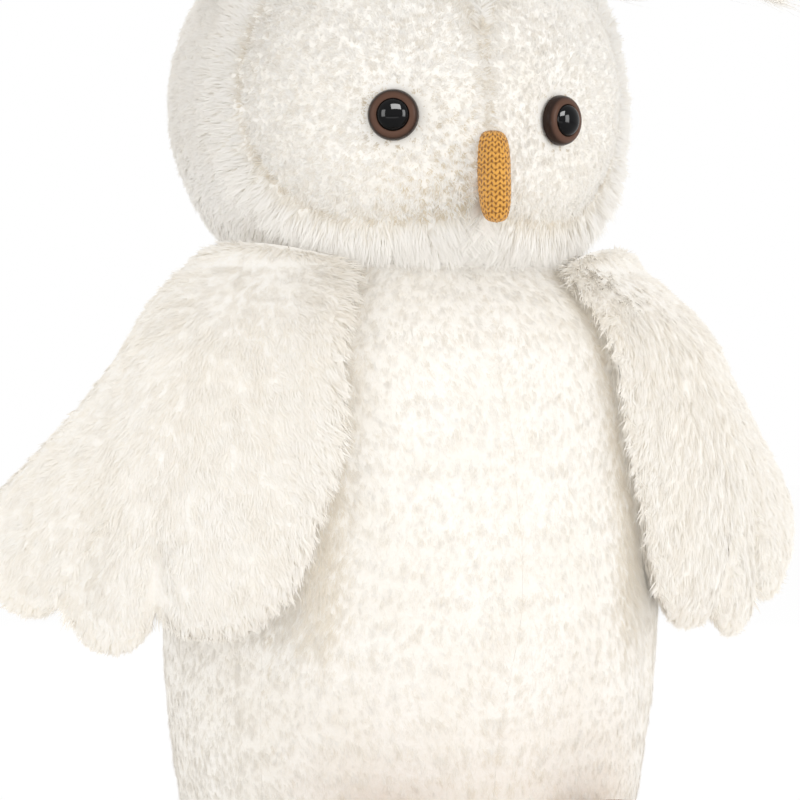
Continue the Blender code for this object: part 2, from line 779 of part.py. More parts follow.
def wing_place(side, outline, middle):
    ahead, out = wing_axes(side)
    size = WING_WIDTH / 2

    def place(k, ring, depth, facing):
        plan = pad_point(outline, middle, k, ring, depth, size)
        height = WING_HALF_THICKNESS * crease(k, len(outline), ring)
        reach = wing_reach(plan.y) + facing * pad_swell(ring, height, depth)
        point = ahead * plan.x + out * reach + Vector((0, 0, plan.y))
        return off_body(point, GAP + depth) if facing < 0 else point

    return place


def wing(side_name, side, collection):
    ahead, out = wing_axes(side)
    outline, middle = wing_plan(2)
    root = WING_TOP - WING_HINGE_DROP
    hinge = out * wing_reach(WING_TOP) + ahead * WING_WIDTH / 5 + Vector((0, 0, root))
    pivot = add_pivot(f"wing_{side_name}_hinge", hinge, collection)
    place = wing_place(side, outline, middle)
    for piece, facing in (("outer", 1), ("lining", -1)):
        name = f"wing_{side_name}_{piece}"
        mesh = pad_sheet(name, place, outline, 4, THIN_PANEL, facing)
        hang_on(add_mesh(name, mesh, collection, CREAM), pivot)
    name = f"wing_{side_name}_stuffing"
    sparse, middle = wing_plan(1)
    place = wing_place(side, sparse, middle)
    mesh = pad_filling(name, place, sparse, 3, THIN_PANEL + 3 * SLACK)
    hang_on(add_mesh(name, mesh, collection, FIBRE_WHITE), pivot)
    return pivot


# Feet
def foot_plan(side, count):
    """A foot's outline with its toes, and its middle, seen from above."""
    middle = Vector((side * FOOT_ASIDE, -math.sqrt(FOOT_REACH**2 - FOOT_ASIDE**2)))
    points = []
    for k in range(count):
        turn = 2 * math.pi * k / count
        front = 1 - eased(TOE_SPREAD * 1.5, TOE_SPREAD * 2, abs(wrapped(turn)))
        toes = FOOT_TOE_SHARE * front * (abs(math.cos(math.pi * turn / TOE_SPREAD)) ** 0.7 - 0.55)
        heel = 1 - 0.16 * eased(0.2, 1, -math.cos(turn))
        across = FOOT_HALF_WIDTH * math.sin(turn) * heel * (1 + toes)
        ahead = FOOT_HALF_LENGTH * math.cos(turn) * (1 + toes)
        spread = side * FOOT_TURN
        points.append(middle + Vector((
            across * math.cos(spread) + ahead * math.sin(spread),
            across * math.sin(spread) - ahead * math.cos(spread),
        )))
    return points, middle


def foot_place(outline, middle):
    size = FOOT_HALF_WIDTH
    seam = THIN_PANEL + GAP

    def place(k, ring, depth, facing):
        plan = pad_point(outline, middle, k, ring, depth, size)
        if facing > 0:
            ahead = max(0, (middle.y - plan.y) / FOOT_HALF_LENGTH)
            height = (FOOT_HEIGHT - seam) * (1 - FOOT_FALL_SHARE * ahead)
            z = seam + pad_swell(ring, height, depth)
        else:
            z = min(depth, seam)
        return off_body(Vector((plan.x, plan.y, z)), GAP + depth)

    return place


def foot(side_name, side, collection):
    outline, middle = foot_plan(side, 36)
    place = foot_place(outline, middle)
    toward = Vector((middle.x, middle.y, 0)).normalized()
    width, deep = body_radii(FOOT_HINGE_HEIGHT)
    reach = 1 / math.hypot(toward.x / width, toward.y / deep)
    hinge = toward * (reach + GAP) + Vector((0, 0, FOOT_HINGE_HEIGHT))
    pivot = add_pivot(f"foot_{side_name}_hinge", hinge, collection)
    for piece, facing, rings in (("upper", 1, 4), ("sole", -1, 2)):
        name = f"foot_{side_name}_{piece}"
        mesh = pad_sheet(name, place, outline, rings, THIN_PANEL, facing)
        hang_on(add_mesh(name, mesh, collection, MUSTARD), pivot)
    name = f"foot_{side_name}_stuffing"
    sparse, middle = foot_plan(side, 18)
    place = foot_place(sparse, middle)
    mesh = pad_filling(name, place, sparse, 3, THIN_PANEL + 2 * SLACK)
    hang_on(add_mesh(name, mesh, collection, FIBRE_WHITE), pivot)
    return pivot


# Tail
def tail_plan(count):
    """The flap's outline as (across, down) and its middle."""
    middle = Vector((0, TAIL_LENGTH / 2))
    points = []
    for k in range(count):
        turn = 2 * math.pi * k / count
        down = math.cos(turn)
        broad = 0.82 + 0.18 * eased(-1, 0.6, down)
        across = math.copysign(abs(math.sin(turn)) ** 0.85, math.sin(turn))
        points.append(middle + Vector((TAIL_HALF_WIDTH * broad * across, TAIL_LENGTH / 2 * down)))
    return points, middle


def tail_place(outline, middle):
    top = Vector((0, body_radii(TAIL_TOP)[1] - TAIL_SINK, TAIL_TOP))
    down = Vector((0, math.sin(TAIL_SLOPE), -math.cos(TAIL_SLOPE)))
    out = Vector((0, math.cos(TAIL_SLOPE), math.sin(TAIL_SLOPE)))
    stack = 2 * (THIN_PANEL + SLACK + GAP)

    def place(k, ring, depth, facing):
        plan = pad_point(outline, middle, k, ring, depth, TAIL_HALF_WIDTH)
        swell = facing * pad_swell(ring, TAIL_HALF_THICKNESS, depth)
        point = top + Vector((plan.x, 0, 0)) + down * plan.y + out * swell
        return off_body(point, GAP + depth if facing < 0 else stack - depth)

    return place


def tail(collection):
    outline, middle = tail_plan(24)
    place = tail_place(outline, middle)
    hinge = Vector((0, body_radii(TAIL_TOP)[1] + GAP, TAIL_TOP - TAIL_HINGE_DROP))
    pivot = add_pivot("tail_hinge", hinge, collection)
    for piece, facing in (("upper", 1), ("under", -1)):
        name = f"tail_{piece}"
        mesh = pad_sheet(name, place, outline, 3, THIN_PANEL, facing)
        hang_on(add_mesh(name, mesh, collection, CREAM), pivot)
    mesh = pad_filling("tail_stuffing", place, outline, 3, THIN_PANEL + SLACK)
    hang_on(add_mesh("tail_stuffing", mesh, collection, FIBRE_WHITE), pivot)
    return pivot


def main():
    clear_scene()
    parts = new_collection("plush_owl")
    cutters = new_collection("cutters")

    body = add_pivot("body_axis", Vector(), parts)
    for side_name, side in SIDES:
        body_panel(f"belly_{side_name}", side, lambda z: 0, side_seam, 7, parts, body)
        body_panel(f"back_{side_name}", side, side_seam, lambda z: math.pi, 11, parts, body)
    body_inside(parts, body)

    neck = add_pivot("neck_axis", Vector((0, 0, NECK_HEIGHT)), parts)
    for side_name, side in SIDES:
        face_panel(f"face_disc_{side_name}", side, parts, neck)
        head_side(f"head_side_{side_name}", side, parts, cutters, neck)
        ear_tuft(f"ear_tuft_{side_name}", side, parts, neck)
        eye(side_name, side, parts, neck)
    head_stuffing(parts, cutters, neck)
    beak(parts, cutters, face_block(cutters), neck)

    hung = [tail(parts)]
    for side_name, side in SIDES:
        hung.append(wing(side_name, side, parts))
        hung.append(foot(side_name, side, parts))
    for pivot in (neck, *hung):
        pivot.parent = body


if __name__ == "__main__":
    main()
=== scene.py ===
"""Plush owl: pile, face, eyes, beak, wings, feet and tail over the packed part, with a plain studio."""

import math

import bmesh
import bpy
import numpy as np
from mathutils import Matrix, Vector


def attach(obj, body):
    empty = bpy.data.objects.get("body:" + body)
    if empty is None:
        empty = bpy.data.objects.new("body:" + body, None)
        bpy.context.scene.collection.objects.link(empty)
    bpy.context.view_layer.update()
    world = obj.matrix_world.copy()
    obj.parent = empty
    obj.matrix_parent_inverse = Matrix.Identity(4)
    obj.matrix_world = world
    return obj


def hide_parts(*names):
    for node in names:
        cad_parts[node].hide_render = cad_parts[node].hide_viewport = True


bl_info = {
    "name": "Plush Owl",
    "version": (1, 0, 0),
    "blender": (4, 5, 0),
    "location": "3D View > Sidebar > Plush Owl",
    "description": "Dresses a stuffed owl: pile, moulded eyes, knitted beak, wings, feet and tail",
    "category": "Object",
}

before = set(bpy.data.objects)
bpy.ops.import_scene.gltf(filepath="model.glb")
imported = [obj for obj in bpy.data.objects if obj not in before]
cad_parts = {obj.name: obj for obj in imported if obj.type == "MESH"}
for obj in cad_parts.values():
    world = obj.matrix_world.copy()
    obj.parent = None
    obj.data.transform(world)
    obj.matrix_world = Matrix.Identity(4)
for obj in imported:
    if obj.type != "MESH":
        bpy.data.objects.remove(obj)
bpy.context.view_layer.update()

SIDES = (("left", 1), ("right", -1))
# Beige of the face's pile, also the colour of the painted shade round the eyes, in the rim's groove and among
# the curls.
FACE_BEIGE_AND_SHADE = (0.67, 0.58, 0.44)
MM = 0.001
STEP = 1e-4  # of a form's numbers, to measure its slopes
ROOM = 0.3 * MM  # between the body and what lies on it
HALF_SEAM = 0.15 * MM
SOFT_RIM = 2.6  # the power that rounds a stuffed form towards its seam
THIN = 0.2 * MM  # a cover's thickness on a closed form
UP = np.array((0.0, 0.0, 1.0))
DOWN = -UP

BODY_SHARES = (0.775, 0.888, 0.935, 0.965, 0.984, 0.996, 1.0, 0.995, 0.975, 0.93, 0.845, 0.645)
BEAK_SHARES = (0.05, 0.58, 0.84, 0.95, 1.0, 1.0, 0.99, 0.95, 0.88, 0.74, 0.50, 0.05)
TUFT_SHARES = (0.55, 0.86, 1.0, 0.94, 0.76, 0.46, 0.08)
WING_SHARES = (
    (0.07, 0.09), (0.05, 0.30), (0.045, 0.471), (0.09, 0.647), (0.16, 0.819), (0.26, 0.922),
    (0.37, 0.946), (0.46, 0.936), (0.52, 0.887), (0.565, 0.961), (0.645, 0.985), (0.72, 0.956),
    (0.765, 0.868), (0.82, 0.897), (0.89, 0.897), (0.97, 0.838), (1.01, 0.741), (0.975, 0.638),
    (0.88, 0.54), (0.745, 0.403), (0.64, 0.256), (0.56, 0.09), (0.44, 0.00), (0.19, 0.02),
)
WING_NOTCHES = (8, 12)
WING_CENTRE = (0.47, 0.50)
WING_HEADING = math.radians(39)
FOOT_HALF_WIDTH, FOOT_HALF_LENGTH = 0.0245, 0.030
FOOT_HEIGHT, SOLE_HEIGHT = 0.0283, 0.0033
FOOT_TILT, TOE_SPREAD = math.radians(14), math.radians(38)
FOOT_MIDDLE = (0.0365, -math.sqrt(0.0856**2 - 0.0365**2))
TAIL_HALF_WIDTH, TAIL_HALF_LENGTH = 0.0235, 0.027
TAIL_ROOT, TAIL_SLOPE = 0.060, math.radians(20)
BODY_FLATNESS = 0.925
FRONT_SEAM_DRIFT_MM = (0, 0.6, 1.4, 2.4, 5.5, 8.4, 8.2, 6.6, 5.6, 3.0, 4.2, 1.8)


def length(name, description, default):
    return bpy.props.FloatProperty(
        name=name, description=description, default=default, min=0, subtype="DISTANCE", unit="LENGTH"
    )


def angle(name, description, degrees):
    return bpy.props.FloatProperty(
        name=name, description=description, default=math.radians(degrees), subtype="ANGLE", unit="ROTATION"
    )


def colour(name, description, default):
    return bpy.props.FloatVectorProperty(
        name=name, description=description, default=default, size=3, min=0, max=1, subtype="COLOR"
    )


class OwlSizes(bpy.types.PropertyGroup):
    """The sizes of the stuffed forms that the pile grows on."""

    body_radius: length("Body radius", "Widest half width of the body", 0.0778)
    neck_height: length("Neck height", "Height of the seam between the body and the head", 0.186)
    head_radius: length("Head radius", "Half width of the head", 0.0710)
    head_depth: length("Head depth", "Half depth of the head", 0.0748)
    head_rise: length("Head rise", "Half height of the head", 0.0686)
    head_centre: length("Head centre", "Height of the head's middle", 0.237)
    head_back: length("Head back", "How far the head's middle lies behind the body's axis", 0.0085)
    eye_radius: length("Eye radius", "Outer radius of the moulded eye", 0.0075)
    seam_dip: length("Seam dip", "How far a seam draws the body in", 0.0011)
    wing_width: length("Wing width", "Width of a wing across its lobes", 0.117)
    wing_length: length("Wing length", "Length of a wing from shoulder to lobes", 0.1215)


class OwlPile(bpy.types.PropertyGroup):
    """The pile: how long and how dense it grows on each form."""

    body_length: length("Body pile", "Length of the body's pile", 0.0038)
    head_length: length("Head pile", "Length of the head's pile", 0.0056)
    face_length: length("Face pile", "Length of the curled pile on the face", 0.0024)
    wing_length: length("Wing pile", "Length of the wings' pile", 0.0058)
    tuft_length: length("Tuft fibres", "Length of the fibres of an ear tuft", 0.018)
    density: bpy.props.FloatProperty(
        name="Density", description="Locks of pile on a square millimetre", default=4.5, min=0.1
    )


class OwlColours(bpy.types.PropertyGroup):
    """The colours of the cloth, the pile and the moulded pieces."""

    pile_tip: colour("Pile tip", "Colour of the pile's tips", (0.92, 0.895, 0.85))
    # Painted shade: the pile is drawn darker and beiger towards its roots, in place of the shade deep in the
    # pile.
    pile_root_shade: colour("Pile root", "Colour deep in the pile", (0.83, 0.78, 0.69))
    # The pile's beige tone, and also the colour that the painted shade on the pile runs towards.
    pile_beige_and_shade: colour("Warm pile", "Colour where the pile is beige", (0.83, 0.77, 0.67))
    mustard: colour("Mustard", "Colour of the beak and the feet", (0.76, 0.38, 0.078))
    # The feet cloth's darker mottle, and also painted shade in the knit's pits and deep in the feet's nap.
    mustard_shade_and_mottle: colour("Deep mustard", "Colour between the stitches", (0.20, 0.065, 0.010))
    ring: colour("Eye ring", "Colour of the moulded ring round the pupil", (0.115, 0.058, 0.038))
    pupil: colour("Pupil", "Colour of the pupil's dome", (0.0008, 0.0008, 0.0009))


# Numbers and curves
def eased(low, high, value):
    t = np.clip((value - low) / (high - low), 0, 1)
    return t * t * (3 - 2 * t)


def curve(before, a, b, after, f):
    slope_a, slope_b = (b - before) / 2, (after - a) / 2
    return (
        a * (2 * f**3 - 3 * f**2 + 1)
        + slope_a * (f**3 - 2 * f**2 + f)
        + b * (3 * f**2 - 2 * f**3)
        + slope_b * (f**3 - f**2)
    )


def along(shares, t):
    """Values at t, 0 to 1, on a smooth curve through evenly spaced shares."""
    shares = np.asarray(shares, float)
    padded = np.concatenate(([2 * shares[0] - shares[1]], shares, [2 * shares[-1] - shares[-2]]))
    place = np.clip(t, 0, 1) * (len(shares) - 1)
    i = np.minimum(place.astype(int), len(shares) - 2)
    return curve(padded[i], padded[i + 1], padded[i + 2], padded[i + 3], place - i)


def round_curve(points, t):
    """Places at t, 0 to 1, on a closed smooth curve through points."""
    points = np.asarray(points, float)
    count = len(points)
    place = (t % 1) * count
    i = place.astype(int) % count
    f = (place - np.floor(place))[..., None]
    return curve(*(points[(i + k) % count] for k in (-1, 0, 1, 2)), f)


def unit(vectors):
    return vectors / np.maximum(np.linalg.norm(vectors, axis=-1, keepdims=True), 1e-18)


def stack(*parts):
    return np.stack(np.broadcast_arrays(*parts), axis=-1)


def lumps(points, size, seed):
    """A soft unevenness, about -1 to 1, as stuffing gives a cover."""
    rng = np.random.default_rng(seed)
    total = 0
    for octave in (1, 1.9, 3.3):
        waves = rng.normal(size=(4, 3)) * octave * 2.2 / size
        turns = rng.uniform(0, 2 * math.pi, 4)
        total = total + np.sin(points @ waves.T + turns).sum(-1) / (4 * octave)
    return total


# The stuffed forms
class Form:
    """A surface given by two numbers, with the direction in which its pile lies."""

    def __init__(self, place, comb, u=(0, 1), v=(0, 1), keep=None):
        self.place = place
        self.comb = comb
        self.u, self.v = u, v
        self.keep = keep
        self.outward = 1

    def slopes_crossed(self, u, v):
        """Along the form's normals, and as long as its patches of two steps are large."""
        across = self.place(u + STEP, v) - self.place(u - STEP, v)
        up = self.place(u, v + STEP) - self.place(u, v - STEP)
        return np.cross(across, up)

    def normals(self, u, v):
        return unit(self.slopes_crossed(u, v))


def sizes():
    return bpy.context.scene.owl_sizes


def pile():
    return bpy.context.scene.owl_pile


def colours():
    return bpy.context.scene.owl_colours


def side_seam(z):
    low, high = math.radians(59), math.radians(47)
    return low + (high - low) * z / sizes().neck_height


def front_seam(z):
    """How far round the belly's seam has drifted to the owl's left at a height."""
    return along(FRONT_SEAM_DRIFT_MM, z / sizes().neck_height) * MM / sizes().body_radius


def body_radii(z):
    width = sizes().body_radius * along(BODY_SHARES, z / sizes().neck_height)
    return width, width * BODY_FLATNESS


def seam_distance(turn, z):
    """How far round the body a place is from the nearest seam."""
    away = np.abs(turn)
    front = np.abs(turn - front_seam(z))
    nearest = np.minimum(np.minimum(front, np.abs(away - side_seam(z))), np.abs(math.pi - away))
    return nearest * sizes().body_radius


def body_place(turn, z):
    width, deep = body_radii(z)
    slack = 0.85 + 0.15 * np.sin(z * 410 + 2 * np.sin(z * 150))
    inset = sizes().seam_dip * slack * np.exp(-((seam_distance(turn, z) / 0.0062) ** 2))
    rough = stack(width * np.sin(turn), -deep * np.cos(turn), z)
    inset = inset - 0.0007 * lumps(rough, 0.03, 3)
    return stack((width - inset) * np.sin(turn), -(deep - inset) * np.cos(turn), z)


def body_comb(side):
    """Down, with a slow sway, and in towards the belly's seam beside it."""
    def comb(points, normals):
        sway = 0.22 * np.sin(points[..., 2] * 70 + points[..., 0] * 45)
        off = side * np.arctan2(points[..., 0], -points[..., 1]) - front_seam(points[..., 2])
        off = off * sizes().body_radius
        inward = -0.45 * side * np.sign(off) * np.exp(-((off / 0.004) ** 2))
        return stack(sway + inward, sway * 0.6, -np.ones(points.shape[:-1]))
    return comb


def wrapped(turn):
    return (turn + math.pi) % (2 * math.pi) - math.pi


DISC_ANGLE = math.radians(34.5)
DISC_INNER, DISC_OUTER = math.radians(37), math.radians(31)
DISC_LATITUDE, DISC_HEIGHT = math.radians(1), math.radians(36.5)
EYE_ANGLE, EYE_LATITUDE = math.radians(23.6), math.radians(-7.6)


def disc_shape(turn, latitude):
    """1 on a face panel's outline, less inside it and more outside."""
    across = np.abs(wrapped(turn)) - DISC_ANGLE
    across = np.where(across < 0, across / DISC_INNER, across / DISC_OUTER)
    up = (latitude - DISC_LATITUDE) / DISC_HEIGHT
    power = np.where(across > 0, 2.3, np.where(up > 0, 1.85, 3.6))
    return (np.abs(across) ** power + np.abs(up) ** power) ** (1 / power)


def face_dip(turn, latitude):
    shape = disc_shape(turn, latitude)
    inside = 0.5 + 0.5 * eased(0.55, 1, shape)
    turn = wrapped(turn)
    muzzle = 0.0072 * np.exp(
        -((turn / math.radians(11)) ** 2) - ((latitude - math.radians(-20)) / math.radians(17)) ** 2
    )
    off_eye = np.hypot(np.abs(turn) - EYE_ANGLE, latitude - EYE_LATITUDE)
    pull = 0.0038 * np.exp(-((off_eye / math.radians(16)) ** 2))
    return 0.0042 * inside * (1 - eased(1, 1.28, shape)) + pull - muzzle


def head_back(z):
    s = sizes()
    return s.head_back * (0.45 + 0.55 * eased(s.neck_height, s.head_centre, z))


def head_place(turn, latitude):
    s = sizes()
    inset = face_dip(turn, latitude)
    level = np.cos(latitude)
    z = s.head_centre + (s.head_rise - np.maximum(inset, 0)) * np.sin(latitude)
    back = head_back(z)
    points = stack(
        (s.head_radius - inset) * level * np.sin(turn),
        back - (s.head_depth - inset) * level * np.cos(turn),
        z,
    )
    away = unit(points - np.array((0, s.head_back, s.head_centre)))
    return points + away * (0.0006 * lumps(points, 0.03, 5))[..., None]


def neck_latitude():
    s = sizes()
    return -math.asin((s.head_centre - s.neck_height - 0.00015) / s.head_rise)


def plumpness(ring):
    """How full a stuffed form is, from 1 at its middle to 0 at its seam."""
    return np.sqrt(np.maximum(0, 1 - ring**SOFT_RIM))


def wing_axes():
    """The left wing's directions: ahead along its width, and out of the body."""
    sine, cosine = math.sin(WING_HEADING), math.cos(WING_HEADING)
    return np.array((cosine, sine, 0)), np.array((sine, -cosine, 0))


def off_body(points, clearance):
    """The points, pushed out where they would lie inside the body."""
    width, deep = body_radii(np.clip(points[..., 2], 0, sizes().neck_height))
    reach = np.hypot(points[..., 0], points[..., 1])
    sine, cosine = points[..., 0] / reach, points[..., 1] / reach
    surface = 1 / np.hypot(sine / width, cosine / deep)
    push = np.maximum(1, (surface + clearance) / reach)
    return points * stack(push, push, np.ones_like(push))


def wing_plan(turn, ring):
    s = sizes()
    scale = np.array((s.wing_width, -s.wing_length))
    start = np.array((-0.0095, s.neck_height + 0.0060))
    outline = start + round_curve(WING_SHARES, turn) * scale
    middle = start + np.array(WING_CENTRE) * scale
    return middle + (outline - middle) * ring[..., None]


def by_notch(turn, width):
    """1 in line with a notch between two lobes, and less beside it."""
    at = (turn % 1) * len(WING_SHARES)
    return sum(np.exp(-(((at - notch) / width) ** 2)) for notch in WING_NOTCHES)


def wing_place(facing):
    def place(turn, ring):
        ring = np.clip(ring, 0, 1)
        plan = wing_plan(turn, ring)
        crease = 1 - 0.42 * by_notch(turn, 0.8) * eased(0.3, 0.85, ring)
        swell = HALF_SEAM + 0.0088 * crease * plumpness(ring)
        ahead, out = wing_axes()
        width, deep = body_radii(np.minimum(plan[..., 1], sizes().neck_height))
        reach = 0.006 + 1 / np.hypot(math.sin(WING_HEADING) / width, math.cos(WING_HEADING) / deep)
        points = ahead * plan[..., :1] + out * (reach + facing * swell)[..., None]
        points = points + stack(0, 0, plan[..., 1])
        points = points + out * (0.0006 * facing * lumps(points, 0.03, 7) * (1 - ring**3))[..., None]
        return off_body(points, ROOM) if facing < 0 else points
    return place


def wing_comb(points, normals):
    ahead, out = wing_axes()
    shoulder = ahead * 0.018 + out * 0.05 + UP * 0.200
    centre = ahead * 0.055 + out * 0.085 + UP * 0.118
    away = points - centre
    spread = away / np.sqrt((away**2).sum(-1, keepdims=True) + 0.022**2)
    return unit(points - shoulder) * 0.9 + spread * 0.55 + DOWN * 0.25


def foot_place(turn, ring):
    ring = np.clip(ring, 0, 1)
    around = 2 * math.pi * turn
    away = np.abs(wrapped(around))
    front = 1 - eased(TOE_SPREAD * 1.5, TOE_SPREAD * 2, away)
    toes = 0.20 * front * (np.abs(np.cos(math.pi * wrapped(around) / TOE_SPREAD)) ** 0.7 - 0.55)
    heel = 1 - 0.16 * eased(0.2, 1, -np.cos(around))
    across = FOOT_HALF_WIDTH * np.sin(around) * heel * (1 + toes)
    ahead = FOOT_HALF_LENGTH * np.cos(around) * (1 + toes)
    sine, cosine = math.sin(FOOT_TILT), math.cos(FOOT_TILT)
    plan_x = FOOT_MIDDLE[0] + (across * cosine + ahead * sine) * ring
    plan_y = FOOT_MIDDLE[1] + (across * sine - ahead * cosine) * ring
    fall = np.maximum(0, (FOOT_MIDDLE[1] - plan_y) / FOOT_HALF_LENGTH)
    height = (FOOT_HEIGHT - SOLE_HEIGHT) * (1 - 0.42 * fall)
    z = SOLE_HEIGHT + HALF_SEAM + height * plumpness(ring)
    return off_body(stack(plan_x, plan_y, z), ROOM)


def sole_place(turn, ring):
    flat = foot_place(turn, np.ones_like(ring)) * np.array((1, 1, 0))
    middle = np.array((*FOOT_MIDDLE, 0))
    return off_body(middle + (flat - middle) * np.clip(ring, 0, 1)[..., None], ROOM)


def tail_place(facing):
    def place(turn, ring):
        ring = np.clip(ring, 0, 1)
        around = 2 * math.pi * turn
        low = np.cos(around)
        broad = 0.82 + 0.18 * eased(-1, 0.6, low)
        wide = np.sign(np.sin(around)) * np.abs(np.sin(around)) ** 0.85
        across = TAIL_HALF_WIDTH * broad * wide * ring
        down = TAIL_HALF_LENGTH * (1 + low * ring)
        swell = facing * (HALF_SEAM + 0.0075 * plumpness(ring))
        sine, cosine = math.sin(TAIL_SLOPE), math.cos(TAIL_SLOPE)
        top = body_radii(np.array(TAIL_ROOT))[1] - 0.0018
        points = stack(
            across,
            top + sine * down + cosine * swell,
            TAIL_ROOT - cosine * down + sine * swell,
        )
        return off_body(points, ROOM if facing < 0 else 0.009)
    return place


# Meshes
def new_object(name, mesh, material, smooth=True):
    obj = bpy.data.objects.new(name, mesh)
    bpy.context.scene.collection.objects.link(obj)
    obj.data.materials.append(material)
    if smooth:
        mesh.shade_smooth()
        mesh.set_sharp_from_angle(angle=math.radians(48))
    return obj


def grid_mesh(name, form, columns, rows, side, thickness, closed=False):
    """A cover: the form's surface and its back, joined round the edge."""
    u = np.linspace(*form.u, columns + 1)
    v = np.linspace(*form.v, rows + 1)
    uu, vv = np.meshgrid(u, v)
    face = form.place(uu, vv)
    back = face - form.normals(uu, np.clip(vv, form.v[0] + 1e-3, form.v[1] - 1e-3)) * thickness
    mesh = bpy.data.meshes.new(name)
    bm = bmesh.new()
    layers = []
    for points in (face, back):
        points = points * np.array((side, 1, 1))
        layers.append([[bm.verts.new(p) for p in row] for row in points])
    for layer in layers:
        for low, high in zip(layer, layer[1:]):
            for i in range(columns):
                bm.faces.new((low[i], low[i + 1], high[i + 1], high[i]))
    outer, inner = layers
    edges = [(outer[0], inner[0]), (outer[-1], inner[-1])]
    if not closed:
        edges += [([r[c] for r in outer], [r[c] for r in inner]) for c in (0, -1)]
    for a, b in edges:
        for i in range(len(a) - 1):
            bm.faces.new((a[i], a[i + 1], b[i + 1], b[i]))
    bmesh.ops.remove_doubles(bm, verts=bm.verts, dist=2e-5)
    bmesh.ops.dissolve_degenerate(bm, dist=1e-6, edges=bm.edges)
    bmesh.ops.recalc_face_normals(bm, faces=bm.faces)
    bm.to_mesh(mesh)
    bm.free()
    return mesh


def form_outward(form, direction):
    """1 or -1: the sign that makes the form's normals point along a direction."""
    u = np.array([form.u[0] + (form.u[1] - form.u[0]) * 0.3])
    v = np.array([form.v[0] + (form.v[1] - form.v[0]) * 0.4])
    return 1 if (form.normals(u, v)[0] * direction).sum() > 0 else -1


def scatter(form, count, rng):
    """Evenly spread places on a form: their two numbers, points and normals.

    A count below 1000 is a number of places on a square millimetre.
    """
    tries = 9000
    u, v = rng.uniform(*form.u, tries), rng.uniform(*form.v, tries)
    area = np.linalg.norm(form.slopes_crossed(u, v), axis=-1)
    limit = np.quantile(area, 0.998)
    total = area.mean() * (form.u[1] - form.u[0]) * (form.v[1] - form.v[0]) / (2 * STEP) ** 2
    share = 1 if form.keep is None else form.keep(u, v).mean()
    if count < 1000:
        count = int(count * total * share * 1e6)
    found = []
    have = 0
    while have < count:
        u, v = rng.uniform(*form.u, count), rng.uniform(*form.v, count)
        area = np.linalg.norm(form.slopes_crossed(u, v), axis=-1)
        kept = rng.uniform(0, limit, count) < area
        if form.keep is not None:
            kept &= form.keep(u, v)
        found.append(np.stack((u[kept], v[kept])))
        have += kept.sum()
    u, v = np.concatenate(found, axis=1)[:, :count]
    return u, v, form.place(u, v), form.normals(u, v)


def mixed(cells, salt):
    """A number from 0 to 1 for each cell, the same every time."""
    cells = cells.astype(np.int64)
    h = cells[..., 0] * 73856093 ^ cells[..., 1] * 19349663 ^ cells[..., 2] * 83492791 ^ (salt * 2654435761)
    h = (h ^ (h >> 13)) * 1274126177
    return ((h ^ (h >> 16)) & 0xFFFFFF) / 0xFFFFFF


def locks(points, size, salt):
    """The middle of the lock of pile that each point belongs to, and the lock's cell."""
    base = np.floor(points / size)
    best = np.full(len(points), np.inf)
    middle = np.zeros_like(points)
    cell = np.zeros_like(points)
    for offset in np.ndindex(3, 3, 3):
        near = base + np.array(offset) - 1
        centre = near + np.stack([mixed(near, salt + k) for k in range(3)], axis=-1)
        away = ((centre * size - points) ** 2).sum(-1)
        closer = away < best
        best = np.where(closer, away, best)
        middle[closer] = centre[closer] * size
        cell[closer] = near[closer]
    return middle, cell


class Growth:
    """How one kind of pile grows."""

    def __init__(
        self, length, width, lift, lock, pull, stray,
        wave=0.0, segments=2, tone=0.6, shade=0.22, upward=0.0, own=0.12,
        grain=0.20, lean=(0, 0, 0),
    ):
        self.length = length
        self.width = width
        self.lift = lift
        self.lock = lock
        self.pull = pull
        self.stray = stray
        self.wave = wave
        self.segments = segments
        self.tone = tone
        self.shade = shade
        self.upward = upward
        self.own = own
        self.grain = grain
        self.lean = np.array(lean)


def turned(vectors, axes, turns):
    """The vectors turned about unit axes."""
    c, s = np.cos(turns)[..., None], np.sin(turns)[..., None]
    along_axis = axes * (vectors * axes).sum(-1, keepdims=True)
    return vectors * c + np.cross(axes, vectors) * s + along_axis * (1 - c)


